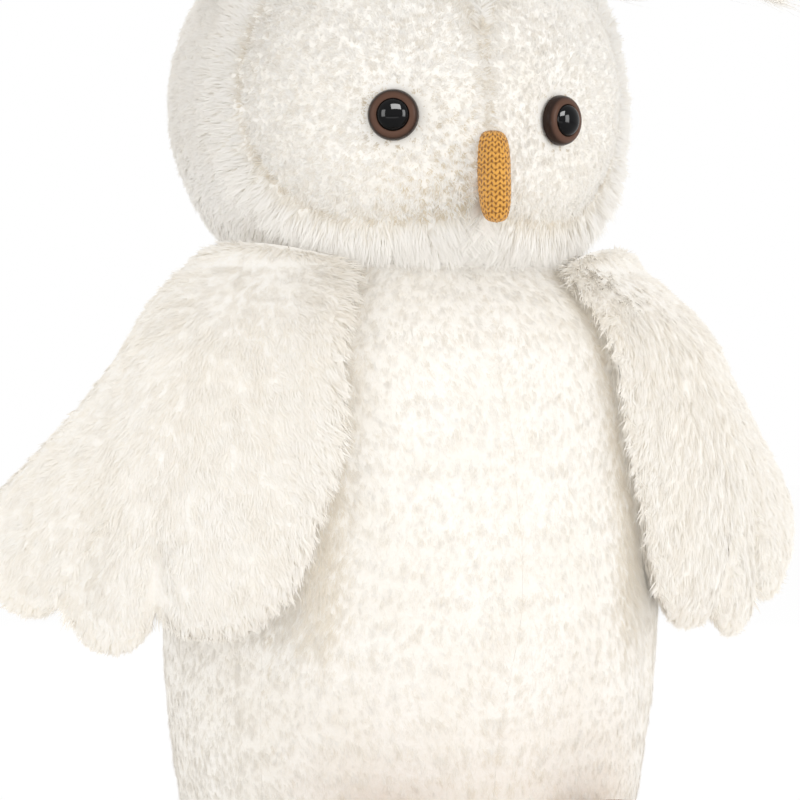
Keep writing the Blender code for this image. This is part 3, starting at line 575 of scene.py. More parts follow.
def pile_mesh(name, form, growth, density, seed, side=1, trim=None, tint=None):
    """Locks of pile as fine tapered blades; trim shortens and tint shades them by place."""
    rng = np.random.default_rng(seed)
    u, v, points, normals = scatter(form, density, rng)
    normals = normals * form.outward
    comb = form.comb(points, normals)
    comb = unit(comb - normals * (comb * normals).sum(-1, keepdims=True))
    middle, cell = locks(points, growth.lock, 11)
    lock_turn = (mixed(cell, 21) - 0.5) * 2 * growth.stray
    comb = turned(comb, normals, lock_turn + rng.normal(0, growth.stray * 0.4, len(points)))
    long = growth.length * (0.75 + 0.4 * mixed(cell, 22)) * rng.uniform(0.75, 1.1, len(points))
    lift = growth.lift * (0.6 + 0.8 * mixed(cell, 23)) + rng.normal(0, 0.06, len(points))
    if trim is not None:
        share, press = trim(u, v, points)
        long = long * share
        lift = lift * press
    offset = middle - points
    offset = offset - normals * (offset * normals).sum(-1, keepdims=True)
    cross = np.cross(normals, comb)
    facing = turned(cross, comb, rng.normal(0, 0.08, len(points)))
    count = len(points)
    segments = growth.segments
    spine = [points - normals * 0.0004]
    wave_turn = rng.uniform(0, 2 * math.pi, count)
    for k in range(segments):
        t = (k + 0.5) / segments
        rise = np.clip(lift * (1.45 - 0.95 * t), -0.35, 1.5)
        heading = comb * np.cos(rise)[..., None] + normals * np.sin(rise)[..., None]
        if growth.wave:
            sway = np.sin(wave_turn + 2.6 * k) * growth.wave
            heading = turned(heading, normals, sway)
        step = heading * (long / segments)[..., None]
        spine.append(spine[-1] + step)
    spine = [p + offset * growth.pull * (k / segments) ** 0.8 for k, p in enumerate(spine)]
    wide = growth.width * rng.uniform(0.7, 1.25, count) * 0.5
    rows = []
    for k, p in enumerate(spine[:-1]):
        taper = (0.75, 1.0, 0.85, 0.65, 0.5, 0.4)[min(k, 5)]
        half = facing * (wide * taper)[..., None]
        rows += [p - half, p + half]
    rows.append(spine[-1])
    verts = np.stack(rows, axis=1)
    per = verts.shape[1]
    verts = verts.reshape(-1, 3) * np.array((side, 1, 1))
    verts[:, 2] = np.maximum(verts[:, 2], 0.0003)

    order = (0, 1) if side > 0 else (1, 0)
    quads = []
    for k in range(segments - 1):
        a, b = 2 * k + order[1], 2 * k + order[0]
        quads.append((a, b, b + 2, a + 2))
    tip = (2 * segments - 2 + order[1], 2 * segments - 2 + order[0], per - 1)
    starts = (np.arange(count) * per)[:, None]
    loops = [starts + np.array(quad) for quad in quads] + [starts + np.array(tip)]
    lengths = np.concatenate([np.full(count, 4)] * len(quads) + [np.full(count, 3)])
    flat = np.concatenate([chunk.reshape(-1) for chunk in loops])

    mesh = bpy.data.meshes.new(name)
    mesh.vertices.add(len(verts))
    mesh.vertices.foreach_set("co", verts.astype(np.float32).reshape(-1))
    mesh.loops.add(len(flat))
    mesh.loops.foreach_set("vertex_index", flat.astype(np.int32))
    mesh.polygons.add(len(lengths))
    begin = np.concatenate(([0], np.cumsum(lengths)[:-1]))
    mesh.polygons.foreach_set("loop_start", begin.astype(np.int32))

    tone = growth.tone + growth.grain * (mixed(cell, 24) - 0.5) + rng.normal(0, 0.25 * growth.grain, count)
    if tint is not None:
        tone = tone + tint(u, v, points)
    tone = np.clip(tone, 0.02, 0.98)
    heights = [k / segments for k in range(segments) for _ in (0, 1)] + [1]
    uv = np.zeros((count, per, 2))
    uv[..., 0] = tone[:, None]
    uv[..., 1] = 0.02 + 0.96 * np.array(heights)
    edge = np.array([(-1, 1)[i % 2] for i in range(per - 1)] + [0]) * 0.003
    uv[..., 0] += edge
    layer = mesh.uv_layers.new(name="OFBake")
    layer.data.foreach_set("uv", uv.reshape(-1, 2)[flat].astype(np.float32).reshape(-1))
    mesh.update()
    mesh.validate()

    rounded = normals - unit(offset) * growth.shade * np.minimum(
        1, np.linalg.norm(offset, axis=-1, keepdims=True) / (growth.lock * 0.5)
    )
    own = np.cross(facing, comb)
    own = own * np.sign((own * normals).sum(-1, keepdims=True))
    shading = unit(rounded + growth.own * own + growth.lean + np.array((0.0, 0.0, growth.upward)))
    shading = np.repeat(shading, per, axis=0) * np.array((side, 1, 1))
    mesh.shade_smooth()
    mesh.normals_split_custom_set_from_vertices(shading.astype(np.float32))
    return mesh


def dress(name, mesh, material, body, slot, stands_for, at=None):
    """A piece on a body that stands for a CAD node, with its share of filling where it is stuffed."""
    obj = new_object(name, mesh, material)
    if at:
        obj.matrix_world = at
    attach(obj, body)
    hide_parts(stands_for)
    return obj


def grow(name, form, growth, density, seed, side, material, body, trim=None, tint=None):
    """The pile of a form, on its body."""
    mesh = pile_mesh(name, form, growth, density, seed, side, trim, tint)
    obj = new_object(name, mesh, material, smooth=False)
    obj.visible_shadow = False  # pale fibres let the light through
    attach(obj, body)


# Materials
def new_material(name):
    material = bpy.data.materials.new(f"owl_{name}")
    material.use_nodes = True
    tree = material.node_tree
    return material, tree, tree.nodes["Principled BSDF"]


def feed(tree, made, inputs):
    """Gives a node its inputs, each a value or another node's output."""
    for key, value in dict(inputs).items():
        socket = made.inputs[key]
        if isinstance(key, str):
            socket = next(s for s in made.inputs if s.name == key and s.enabled)
        if hasattr(value, "is_linked"):
            tree.links.new(value, socket)
        else:
            socket.default_value = value


def node(tree, kind, inputs=(), **settings):
    """A new node with its settings and its inputs."""
    made = tree.nodes.new(kind)
    for key, value in settings.items():
        setattr(made, key, value)
    feed(tree, made, inputs)
    return made


def mixed_colour(tree, factor, a, b):
    """The output of a mix of two colours."""
    return node(tree, "ShaderNodeMix", {0: factor, 6: a, 7: b}, data_type="RGBA").outputs[2]


def ranged(tree, value, from_min, from_max, to_min=0.0, to_max=1.0, smooth=False):
    """The output of a map from one range to another."""
    return node(tree, "ShaderNodeMapRange", {
        "Value": value, "From Min": from_min, "From Max": from_max, "To Min": to_min, "To Max": to_max,
    }, interpolation_type="SMOOTHSTEP" if smooth else "LINEAR").outputs[0]


def rgb(value):
    return (*value, 1)


def scaled(colour, share):
    return tuple(min(1, v * share) for v in colour)


def node_group(name, inputs, outputs):
    """A new node group with its sockets: the tree, its start and its end."""
    tree = bpy.data.node_groups.new(name, "ShaderNodeTree")
    for way, sockets in (("INPUT", inputs), ("OUTPUT", outputs)):
        for socket, kind in sockets.items():
            tree.interface.new_socket(socket, in_out=way, socket_type=f"NodeSocket{kind}")
    return tree, tree.nodes.new("NodeGroupInput").outputs, tree.nodes.new("NodeGroupOutput")


def pile_tone_group():
    """The colour of a lock: deep at the root, pale at the tip, warmer where its tone is low."""
    found = bpy.data.node_groups.get("pile_tone")
    if found:
        return found
    tree, given, end = node_group("pile_tone", {
        "Root": "Color", "Tip": "Color", "Warm": "Color", "Tone": "Float", "Height": "Float",
    }, {"Color": "Color"})
    height = ranged(tree, given["Height"], 0.0, 0.62, smooth=True)
    tip = mixed_colour(tree, ranged(tree, given["Tone"], 0.05, 0.75), given["Warm"], given["Tip"])
    feed(tree, end, {"Color": mixed_colour(tree, height, given["Root"], tip)})
    return tree


def pile_material(name, root, tip, warm):
    """Pile: its tone and its height on the blade come from the blade's UV map."""
    material, tree, shader = new_material(name)
    uv = node(tree, "ShaderNodeUVMap", uv_map="OFBake")
    split = node(tree, "ShaderNodeSeparateXYZ", {"Vector": uv.outputs["UV"]})
    group = node(tree, "ShaderNodeGroup", node_tree=pile_tone_group())
    feed(tree, group, {
        "Root": rgb(root), "Tip": rgb(tip), "Warm": rgb(warm),
        "Tone": split.outputs["X"], "Height": split.outputs["Y"],
    })
    feed(tree, shader, {
        "Base Color": group.outputs["Color"], "Roughness": 0.85, "Specular IOR Level": 0.15,
        "Sheen Weight": 0.25, "Sheen Roughness": 0.5,
    })
    material.use_backface_culling = False
    return material


def cloth_group():
    """Mottled knit backing: a colour and a height from fine and broad unevenness."""
    found = bpy.data.node_groups.get("cloth_backing")
    if found:
        return found
    tree, given, end = node_group("cloth_backing", {
        "Light": "Color", "Dark": "Color", "Grain": "Float", "Patches": "Float",
    }, {"Color": "Color", "Height": "Float", "Roughness": "Float"})
    place = node(tree, "ShaderNodeTexCoord").outputs["Object"]
    fine = node(tree, "ShaderNodeTexNoise", {
        "Vector": place, "Scale": given["Grain"], "Detail": 4.0, "Roughness": 0.6,
    }).outputs[0]
    broad = node(tree, "ShaderNodeTexNoise", {"Vector": place, "Scale": given["Patches"], "Detail": 2.0})
    both = node(tree, "ShaderNodeMath", {0: fine, 1: broad.outputs[0]}, operation="MULTIPLY").outputs[0]
    feed(tree, end, {
        "Color": mixed_colour(tree, ranged(tree, both, 0.12, 0.38), given["Dark"], given["Light"]),
        "Height": fine, "Roughness": ranged(tree, fine, 0.0, 1.0, 0.75, 1.0),
    })
    return tree


def cloth_material(name, light, dark, grain=900.0, patches=45.0, bump=0.3, depth=0.0006):
    material, tree, shader = new_material(name)
    group = node(tree, "ShaderNodeGroup", node_tree=cloth_group())
    feed(tree, group, {"Light": rgb(light), "Dark": rgb(dark), "Grain": grain, "Patches": patches})
    relief = node(tree, "ShaderNodeBump", {
        "Strength": bump, "Distance": depth, "Height": group.outputs["Height"],
    })
    feed(tree, shader, {
        "Base Color": group.outputs["Color"], "Roughness": group.outputs["Roughness"],
        "Normal": relief.outputs["Normal"], "Specular IOR Level": 0.2, "Sheen Weight": 0.2,
    })
    return material


def knit_material(name, light, dark):
    """Fine knit wound round the beak: columns of slanted stitches with dark pits between them."""
    material, tree, shader = new_material(name)

    def maths(operation, *values):
        return node(tree, "ShaderNodeMath", dict(enumerate(values)), operation=operation).outputs[0]

    place = node(tree, "ShaderNodeTexCoord")
    split = node(tree, "ShaderNodeSeparateXYZ", {"Vector": place.outputs["Object"]})
    fuzz = node(tree, "ShaderNodeTexNoise", {
        "Vector": place.outputs["Object"], "Scale": 620.0, "Detail": 3.0,
    }).outputs[0]
    across = maths("DIVIDE", split.outputs["X"], 0.0044)
    ahead = maths("DIVIDE", maths("SUBTRACT", -0.0685, split.outputs["Y"]), 0.0070)
    column = maths("MULTIPLY", maths("ARCTAN2", across, ahead), 13 / (2 * math.pi))
    off = maths("ABSOLUTE", maths("SUBTRACT", maths("FRACT", column), 0.5))
    row = maths("ADD", maths("DIVIDE", split.outputs["Z"], 0.0016), maths("MULTIPLY", off, 1.1))
    row = maths("ADD", row, maths("MULTIPLY", fuzz, 1.3))
    band = maths("MULTIPLY_ADD", maths("SINE", maths("MULTIPLY", row, 2 * math.pi)), 0.5, 0.5)
    edge = maths("MULTIPLY", maths("ABSOLUTE", maths("SUBTRACT", off, 0.25)), 4.0)
    hollow = maths("MULTIPLY_ADD", edge, 0.45, maths("MULTIPLY", maths("SUBTRACT", 1.0, band), 0.55))
    # Painted shade: the pits between the stitches are drawn dark as well as sunk by the bump.
    pits = ranged(tree, hollow, 0.38, 0.95, 1.0, 0.12, smooth=True)
    shade = maths("MULTIPLY", pits, maths("MULTIPLY_ADD", fuzz, 0.7, 0.65))
    relief = node(tree, "ShaderNodeBump", {"Strength": 0.8, "Distance": 0.0006, "Height": pits})
    feed(tree, shader, {
        "Base Color": mixed_colour(tree, shade, rgb(dark), rgb(light)),
        "Normal": relief.outputs["Normal"], "Roughness": 0.85, "Specular IOR Level": 0.2, "Sheen Weight": 0.2,
    })
    return material


def moulded_material(name, light, dark, low, high, rough=0.25, shine=0.3):
    """Moulded plastic with a faint swirl and a darker foot, between two heights on the eye's own axis."""
    material, tree, shader = new_material(name)
    place = node(tree, "ShaderNodeTexCoord").outputs["Object"]
    swirl = node(tree, "ShaderNodeTexNoise", {
        "Vector": place, "Scale": 420.0, "Detail": 3.0, "Distortion": 0.6,
    }).outputs[0]
    split = node(tree, "ShaderNodeSeparateXYZ", {"Vector": place})
    level = node(tree, "ShaderNodeMath", {
        0: ranged(tree, split.outputs["Z"], low, high, smooth=True),
        1: ranged(tree, swirl, 0.0, 1.0, 0.75, 1.0),
    }, operation="MULTIPLY").outputs[0]
    feed(tree, shader, {
        "Base Color": mixed_colour(tree, level, rgb(dark), rgb(light)),
        "Roughness": ranged(tree, swirl, 0.0, 1.0, rough * 0.8, rough * 1.2), "Specular IOR Level": shine,
    })
    return material


def shared(name, make, *values, **settings):
    """A material made once."""
    return bpy.data.materials.get(f"owl_{name}") or make(name, *values, **settings)


def cream_pile():
    c = colours()
    return shared("cream_pile", pile_material, c.pile_root_shade, c.pile_tip, c.pile_beige_and_shade)


def cream_cloth():
    c = colours()
    dark = tuple(0.5 * (a + b) for a, b in zip(c.pile_root_shade, c.pile_tip))
    return shared("cream_cloth", cloth_material, c.pile_tip, dark)


# Pieces
def build_body():
    """The belly and back covers with their combed pile."""
    c = colours()
    cloth = cream_cloth()
    fur = shared("body_pile", pile_material, c.pile_root_shade, scaled(c.pile_tip, 0.945), c.pile_beige_and_shade)
    high = sizes().neck_height - 0.0002

    def nearness(points, side):
        turn = side * np.arctan2(points[:, 0], -points[:, 1])
        return np.exp(-((seam_distance(turn, points[:, 2]) / 0.0015) ** 2))

    def gaps(points):
        return eased(-0.1, 0.7, lumps(points, 0.012, 41))

    def patches(side):
        def tint(u, v, points):
            # Painted shade: darker on the flanks, low on the belly near the floor, in the crease under the
            # wing's inner edge and along the seams, most where the pile parts; on top of an uneven tone.
            turn = np.abs(np.arctan2(points[:, 0], -points[:, 1]))
            sides = 0.16 * eased(side_seam(points[:, 2]) - 0.15, 2.0, turn)
            low = 0.16 * np.exp(-((points[:, 2] - 0.012) / 0.020) ** 2) * np.exp(-((turn / 0.7) ** 2))
            wing_crease_shade = 0.60 * np.exp(-(((turn - 0.70) / 0.10) ** 2)) * eased(0.06, 0.09, points[:, 2])
            near = nearness(points, side)
            seam = near * (0.2 + 0.9 * gaps(points))
            return 0.09 * lumps(points, 0.05, 17) - sides - low - wing_crease_shade - seam
        return tint

    def seam_trim(side):
        def trim(u, v, points):
            near = nearness(points, side) * gaps(points)
            turn = np.abs(np.arctan2(points[:, 0], -points[:, 1]))
            under = np.exp(-(((turn - 0.78) / 0.14) ** 2)) * eased(0.06, 0.09, points[:, 2])
            neck = eased(0.174, 0.184, points[:, 2])
            return 1 - 0.4 * near + 0.5 * under, (1 - 0.4 * near) * (1 + 1.2 * under + 0.8 * neck)
        return trim

    for panel, first, last in (("belly", 0, None), ("back", None, math.pi)):
        for side_name, side in SIDES:
            def place(share, z, first=first, last=last, side=side):
                seam = side_seam(z)
                a = seam if first is None else side * front_seam(z)
                b = seam if last is None else last
                room = 0.00003 / body_radii(z)[0]
                turn = side * (a + room + (b - a - 2 * room) * share)
                return body_place(turn, z) * np.array((side, 1, 1))
            form = Form(place, body_comb(side), v=(0.0002, high))
            name = f"{panel}_cover_{side_name}"
            mesh = grid_mesh(name, form, 30, 48, side, 0.0022)
            dress(name, mesh, cloth, "body", "body_pile", f"{panel}_{side_name}")
            growth = Growth(
                pile().body_length, 0.00034, 0.20, 0.0019, 0.50, 0.42, segments=1, upward=0.2,
                shade=0.36 if panel == "belly" else 0.22, grain=0.42 if panel == "belly" else 0.22,
            )
            grow(
                f"{panel}_pile_{side_name}", form, growth, pile().density * 1.3,
                101 + side + 10 * (panel == "back"), side, fur, "body",
                seam_trim(side), patches(side),
            )


def head_combs(side_centre):
    def comb(points, normals):
        s = sizes()
        away = unit(points - side_centre)
        back = np.array((0.0, 0.55, 0.0))
        far = eased(-0.01, 0.05, points[..., 1])[..., None]
        low = eased(s.head_centre - 0.02, s.neck_height, points[..., 2])[..., None]
        return away * (1 - 0.6 * far) + back * (1 - low) + DOWN * (0.55 * far + 0.5 * low)
    return comb


def build_head():
    """The long-pile sides of the head with the brow and the ruff."""
    cloth = cream_cloth()
    fur = cream_pile()
    centre = head_place(np.array(DISC_ANGLE), np.array(DISC_LATITUDE))
    comb = head_combs(centre)

    def outside(turn, latitude):
        return disc_shape(turn, latitude) > 0.99

    def ruff(u, v, points):
        rim = disc_shape(u, v)
        near = np.exp(-(((rim - 1.05) / 0.16) ** 2))
        low = eased(-0.15, -0.5, v)
        hem = eased(0.202, 0.190, points[:, 2])
        longer = near * (0.02 + 0.75 * low) + hem * (0.25 + 0.45 * eased(1.1, 1.8, u))
        return 1 + longer, (1 + 0.35 * near) * (1 - 0.35 * hem)

    def patches(u, v, points):
        # Painted light and shade: paler on the ruff just outside the face's rim and low on the head, painted
        # shade in the groove round the face panel, warmer towards the back of the head, on top of an uneven
        # tone.
        rim = disc_shape(u, v)
        near = np.exp(-(((rim - 1.12) / 0.12) ** 2))
        groove_shade = np.exp(-(((rim - 1.0) / 0.025) ** 2))
        groove_shade = groove_shade * (1 - eased(0.25, 0.5, v))
        low = eased(-0.15, -0.5, v)
        uneven = 0.08 * lumps(points, 0.04, 19)
        return uneven + 0.15 * near + 0.15 * low - 0.5 * groove_shade - 0.12 * eased(0.9, 2.2, u)

    form = Form(head_place, comb, u=(0.0, math.pi), v=(neck_latitude(), math.pi / 2 - 0.002), keep=outside)
    growth = Growth(
        pile().head_length, 0.00036, 0.20, 0.0024, 0.30, 0.34,
        wave=0.1, shade=0.12, upward=0.6, own=0.06, grain=0.14,
    )
    for side_name, side in SIDES:
        name = f"head_cover_{side_name}"
        mesh = head_cover_mesh(name, form, side)
        dress(name, mesh, cloth, "head", "head_pile", f"head_side_{side_name}")
        grow(
            f"head_pile_{side_name}", form, growth, pile().density, 131 + side, side,
            fur, "head", ruff, patches,
        )


def head_cover_mesh(name, form, side):
    """The head's half shell without the face panel's place."""
    mesh = grid_mesh(name, form, 72, 60, side, 0.0022)
    bm = bmesh.new()
    bm.from_mesh(mesh)
    s = sizes()
    gone = []
    for face in bm.faces:
        p = face.calc_center_median()
        y = p.y - float(head_back(p.z))
        turn = math.atan2(abs(p.x) / s.head_radius, -y / s.head_depth)
        flat = math.hypot(p.x / s.head_radius, y / s.head_depth)
        latitude = math.atan2((p.z - s.head_centre) / s.head_rise, flat)
        if disc_shape(np.array(turn), np.array(latitude)) < 0.97:
            gone.append(face)
    bmesh.ops.delete(bm, geom=gone, context="FACES")
    bm.to_mesh(mesh)
    bm.free()
    return mesh


def build_face():
    """The hollowed face panels with their short curled pile."""
    c = colours()
    cloth = cream_cloth()
    fur = shared("face_pile", pile_material, scaled(c.pile_root_shade, 0.91), scaled(c.pile_tip, 0.97), FACE_BEIGE_AND_SHADE)
    eye = head_place(np.array(EYE_ANGLE), np.array(EYE_LATITUDE))

    def inside(turn, latitude):
        hole = np.hypot(turn - EYE_ANGLE, latitude - EYE_LATITUDE) * sizes().head_radius
        return (disc_shape(turn, latitude) < 1.03) & (hole > sizes().eye_radius * 0.6)

    def comb(points, normals):
        return unit(points - eye) + np.array((0.25, 0.1, -0.35))

    def trim(u, v, points):
        away = np.linalg.norm(points - eye, axis=-1)
        near = np.exp(-(((away - sizes().eye_radius) / 0.003) ** 2))
        rim = eased(0.75, 1.0, disc_shape(u, v))
        return 1 - 0.35 * near + 0.5 * rim, 1 - 0.1 * near

    def patches(side):
        everywhere, at_beak = (0.07, 1.3) if side < 0 else (0.03, 0.20)

        def tint(u, v, points):
            # Painted shade round the eye, in the groove at the face's rim, down the parting and a little by
            # the beak; painted light and shade among the curls, strongest beside the beak on the owl's right.
            away = np.linalg.norm(points - eye, axis=-1)
            beak = np.hypot(points[:, 0], points[:, 2] - 0.205)
            by_beak = np.exp(-((beak / 0.022) ** 2))
            by_eye = np.exp(-((np.maximum(away - 0.0076, 0) / 0.0016) ** 2))
            rim = np.exp(-(((disc_shape(u, v) - 1.0) / 0.03) ** 2)) * (1 - eased(0.25, 0.5, v))
            parting = np.exp(-((points[:, 0] / 0.0011) ** 2))
            shade = 0.65 * by_eye + 0.04 * by_beak + 0.35 * np.maximum(rim, parting)
            curl_light_and_shade = (everywhere + at_beak * by_beak) * lumps(points, 0.0015, 37)
            return 0.06 * lumps(points, 0.02, 23) + curl_light_and_shade - shade - 0.10
        return tint

    for side_name, side in SIDES:
        form = Form(
            head_place, comb, u=(0.002, DISC_ANGLE + DISC_OUTER * 1.05),
            v=(DISC_LATITUDE - DISC_HEIGHT * 1.05, DISC_LATITUDE + DISC_HEIGHT * 1.05), keep=inside,
        )
        name = f"face_cover_{side_name}"
        mesh = face_cover_mesh(name, side)
        dress(name, mesh, cloth, "head", "face_pile", f"face_disc_{side_name}")
        growth = Growth(
            pile().face_length, 0.00034, 0.34, 0.0015, 0.45, 0.8,
            wave=0.4, tone=0.74, shade=0.30, upward=0.4, grain=0.20 if side < 0 else 0.14,
        )
        grow(
            f"face_pile_{side_name}", form, growth, pile().density * 1.6, 151 + side, side,
            fur, "head", trim, patches(side),
        )


def face_cover_mesh(name, side):
    """A face panel from the eye's hole out to its rim."""
    def place(turn, ring):
        around = 2 * math.pi * turn
        across, up = np.cos(around), np.sin(around)
        power = np.where(across > 0, 2.3, np.where(up > 0, 1.85, 3.6))
        length = (np.abs(across) ** power + np.abs(up) ** power) ** (1 / power)
        width = np.where(across > 0, DISC_OUTER, DISC_INNER)
        rim_turn = np.maximum(DISC_ANGLE + across / length * width, 0.002)
        rim_latitude = DISC_LATITUDE + up / length * DISC_HEIGHT
        hole = 0.0024 / sizes().head_radius
        toward = np.arctan2(rim_latitude - EYE_LATITUDE, rim_turn - EYE_ANGLE)
        first_turn = EYE_ANGLE + hole * np.cos(toward)
        first_latitude = EYE_LATITUDE + hole * np.sin(toward)
        return head_place(
            first_turn + (rim_turn - first_turn) * ring,
            first_latitude + (rim_latitude - first_latitude) * ring,
        )
    return grid_mesh(name, Form(place, None), 72, 18, side, -0.002, closed=True)


def build_ear_tufts():
    """The tufts of long fibres at the sides of the crown."""
    tip = colours().pile_tip
    # Painted light: the tufts' fibres are drawn paler than the rest of the pile and without a darker root, in
    # place of light through thin fibres.
    fur = shared("tuft_pile", pile_material, tip, scaled(tip, 1.06), tip)
    cloth = cream_cloth()
    long = 0.058
    turn, latitude = math.radians(80), math.radians(33)
    foot = head_place(np.array(turn), np.array(latitude))
    out = Form(head_place, None).normals(np.array(turn), np.array(latitude))

    def axis_at(t):
        tilt = math.radians(33) * t
        sine, cosine = np.sin(tilt), np.cos(tilt)
        return stack(cosine * out[0] + sine * out[2], out[1] + 0 * t, -sine * out[0] + cosine * out[2])

    def place(t, around):
        t, around = np.broadcast_arrays(np.clip(t, 0, 1), around * 2 * math.pi)
        axis = unit(axis_at(t))
        across = unit(np.cross(axis, UP))
        up = np.cross(across, axis)
        radius = 0.0105 * along(TUFT_SHARES, t) * 0.92
        middle = foot + out * 0.0006 + axis * (long * t)[..., None]
        flat = 0.62
        return (
            middle + across * (radius * np.cos(around))[..., None]
            + up * (radius * flat * np.sin(around))[..., None]
        )

    def comb(points, normals):
        return np.broadcast_to(unit(axis_at(np.array(0.6))), points.shape)

    form = Form(place, comb)
    form.outward = form_outward(form, place(0.3, 0.4) - foot - unit(axis_at(np.array(0.3))) * long * 0.3)
    sparse = Form(place, comb, u=(0.15, 0.7))
    sparse.outward = form.outward
    fibres = Growth(
        pile().tuft_length, 0.00024, 0.12, 0.003, 0.35, 0.22,
        wave=0.1, segments=4, tone=0.8, upward=1.0, own=0.2,
    )
    strands = Growth(
        pile().tuft_length * 1.35, 0.00013, 0.10, 0.006, 0.2, 0.3,
        wave=0.08, segments=5, tone=0.9, upward=2.0,
    )
    for side_name, side in SIDES:
        name = f"tuft_core_{side_name}"
        mesh = grid_mesh(name, form, 20, 24, side, THIN)
        bm = bmesh.new()
        bm.from_mesh(mesh)
        bmesh.ops.remove_doubles(bm, verts=bm.verts, dist=1e-5)
        bm.to_mesh(mesh)
        bm.free()
        dress(name, mesh, cloth, "head", "tuft_pile", f"ear_tuft_{side_name}")
        for kind, where, growth, count, seed in (
            ("pile", form, fibres, 14000, 171), ("strands", sparse, strands, 1001, 181),
        ):
            name = f"tuft_{kind}_{side_name}"
            grow(name, where, growth, count, seed + side, side, fur, "head")


def eye_matrix(side):
    form = Form(head_place, None)
    at = (np.array(EYE_ANGLE), np.array(EYE_LATITUDE))
    out = form.normals(*at)
    place = form.place(*at) + out * 0.0015
    mirror = np.array((side, 1, 1))
    turn = Vector(out * mirror).to_track_quat("Z", "Y").to_matrix().to_4x4()
    return Matrix.Translation(Vector(place * mirror)) @ turn


def turned_mesh(name, profile, steps):
    """A turned shape: its profile runs down the outer side from axis to axis."""
    bm = bmesh.new()
    rings = []
    for radius, z in profile:
        if radius < 1e-7:
            rings.append([bm.verts.new((0, 0, z))])
            continue
        turns = [2 * math.pi * k / steps for k in range(steps)]
        rings.append([bm.verts.new((radius * math.cos(a), radius * math.sin(a), z)) for a in turns])
    for high, low in zip(rings, rings[1:]):
        for i in range(steps):
            j = (i + 1) % steps
            loop = [high[i % len(high)], low[i % len(low)], low[j % len(low)], high[j % len(high)]]
            corners = list(dict.fromkeys(loop))
            if len(corners) > 2:
                bm.faces.new(corners)
    bmesh.ops.recalc_face_normals(bm, faces=bm.faces)
    mesh = bpy.data.meshes.new(name)
    bm.to_mesh(mesh)
    bm.free()
    return mesh


def build_eyes():
    """Two-piece moulded eyes: a brown ring and a black dome seated in it."""
    c = colours()
    ring_finish = shared(
        "eye_ring", moulded_material, c.ring, scaled(c.ring, 0.2), 0.0020, 0.00305, rough=0.25, shine=0.15
    )
    pupil_finish = shared(
        "eye_pupil", moulded_material, c.pupil, scaled(c.pupil, 0.5), 0.0, 0.001, rough=0.04, shine=0.12
    )
    radius = sizes().eye_radius
    seat = 0.0048
    ring = [
        (0, 0.0019), (seat - 0.0001, 0.0019), (seat, 0.0020), (seat, 0.0030),
        (seat + 0.00010, 0.00308), (seat + 0.0003, 0.0031), (seat + 0.0010, 0.00295),
        (seat + 0.0016, 0.0027), (seat + 0.0020, 0.0023), (seat + 0.0024, 0.0016),
        (radius - 0.00012, 0.0008), (radius, 0.0003), (radius, -0.0003), (radius - 0.0004, -0.0006),
        (0.0019, -0.0006), (0.0019, -0.0118), (0, -0.0118),
    ]
    dome = [(0.0047 * math.sin(t), 0.0026 + 0.0027 * math.cos(t)) for t in np.linspace(0, math.pi / 2, 24)]
    dome += [(0.0047, 0.0021), (0, 0.0021)]
    for side_name, side in SIDES:
        for piece, profile, finish, stands_for, slot in (
            ("eye_ring", ring, ring_finish, "eye_iris", "eye_ring"),
            ("eye_dome", dome, pupil_finish, "eye_pupil", "eye_pupil"),
        ):
            name = f"{piece}_{side_name}"
            mesh = turned_mesh(name, profile, 96)
            dress(name, mesh, finish, "head", slot, f"{stands_for}_{side_name}", at=eye_matrix(side))


def build_beak():
    """The knitted beak, sewn to the muzzle along its back."""
    c = colours()
    finish = shared("mustard_knit", knit_material, c.mustard, c.mustard_shade_and_mottle)

    def place(turn, t):
        around = 2 * math.pi * turn
        share = along(BEAK_SHARES[::-1], t)
        z = 0.1972 + 0.0268 * (1 - np.cos(math.pi * t)) / 2
        reach = 0.0707 + (0.0663 - 0.0707) * t
        knit = 0.00012 * np.sin(around * 16) * np.sin(z * 2 * math.pi / 0.0011)
        return stack(
            (0.0044 * share + knit) * np.sin(around), -reach - (0.0070 * share + knit) * np.cos(around), z
        )
    mesh = grid_mesh("beak_knit", Form(place, None), 96, 80, 1, THIN, closed=True)
    dress("beak_knit", mesh, finish, "head", "mustard_knit", "beak_cover")


def build_wings():
    """The lobed wings: outer cover, lining and their long pile."""
    cloth, fur = cream_cloth(), cream_pile()

    def patches(u, v, points):
        return 0.14 * lumps(points, 0.04, 29) - 0.05

    def edge_trim(u, v, points):
        near = by_notch(u, 0.5)
        shoulder = eased(0.176, 0.192, points[:, 2])
        notch = near * eased(0.86, 0.98, v)
        crease = near * eased(0.45, 0.8, v) * (1 - eased(0.86, 0.98, v))
        high = eased(0.140, 0.160, points[:, 2])
        inner = v**3 * (1 - eased(0.004, 0.022, points @ wing_axes()[0]))
        share = 1 - (0.35 + 0.2 * high) * v**4 * (1 - notch) * (1 - inner) - 0.2 * crease + 0.45 * notch
        share = share + 0.15 * inner * (1 - shoulder) + 0.15 * shoulder
        return share, 1 - 0.25 * crease + 0.5 * inner * (1 - shoulder) + 0.35 * shoulder * v**2

    for side_name, side in SIDES:
        body = f"wing_{side_name}"
        for piece, facing, density in (("outer", 1, 1.0), ("lining", -1, 0.6)):
            form = Form(wing_place(facing), wing_comb)
            form.outward = form_outward(form, wing_axes()[1] * facing)
            name = f"wing_{piece}_cover_{side_name}"
            mesh = grid_mesh(name, form, 96, 16, side, THIN, closed=True)
            obj = dress(name, mesh, cloth, body, "wing_pile", f"wing_{side_name}_{piece}")
            obj.visible_shadow = False  # as for the pile
            growth = Growth(
                pile().wing_length, 0.00038, 0.22, 0.0026, 0.45, 0.42,
                wave=0.14, upward=0.25, lean=0.45 * max(facing, 0) * wing_axes()[1],
            )
            grow(
                f"wing_{piece}_pile_{side_name}", form, growth, pile().density * density,
                201 + side + 10 * facing, side, fur, body, edge_trim, patches,
            )


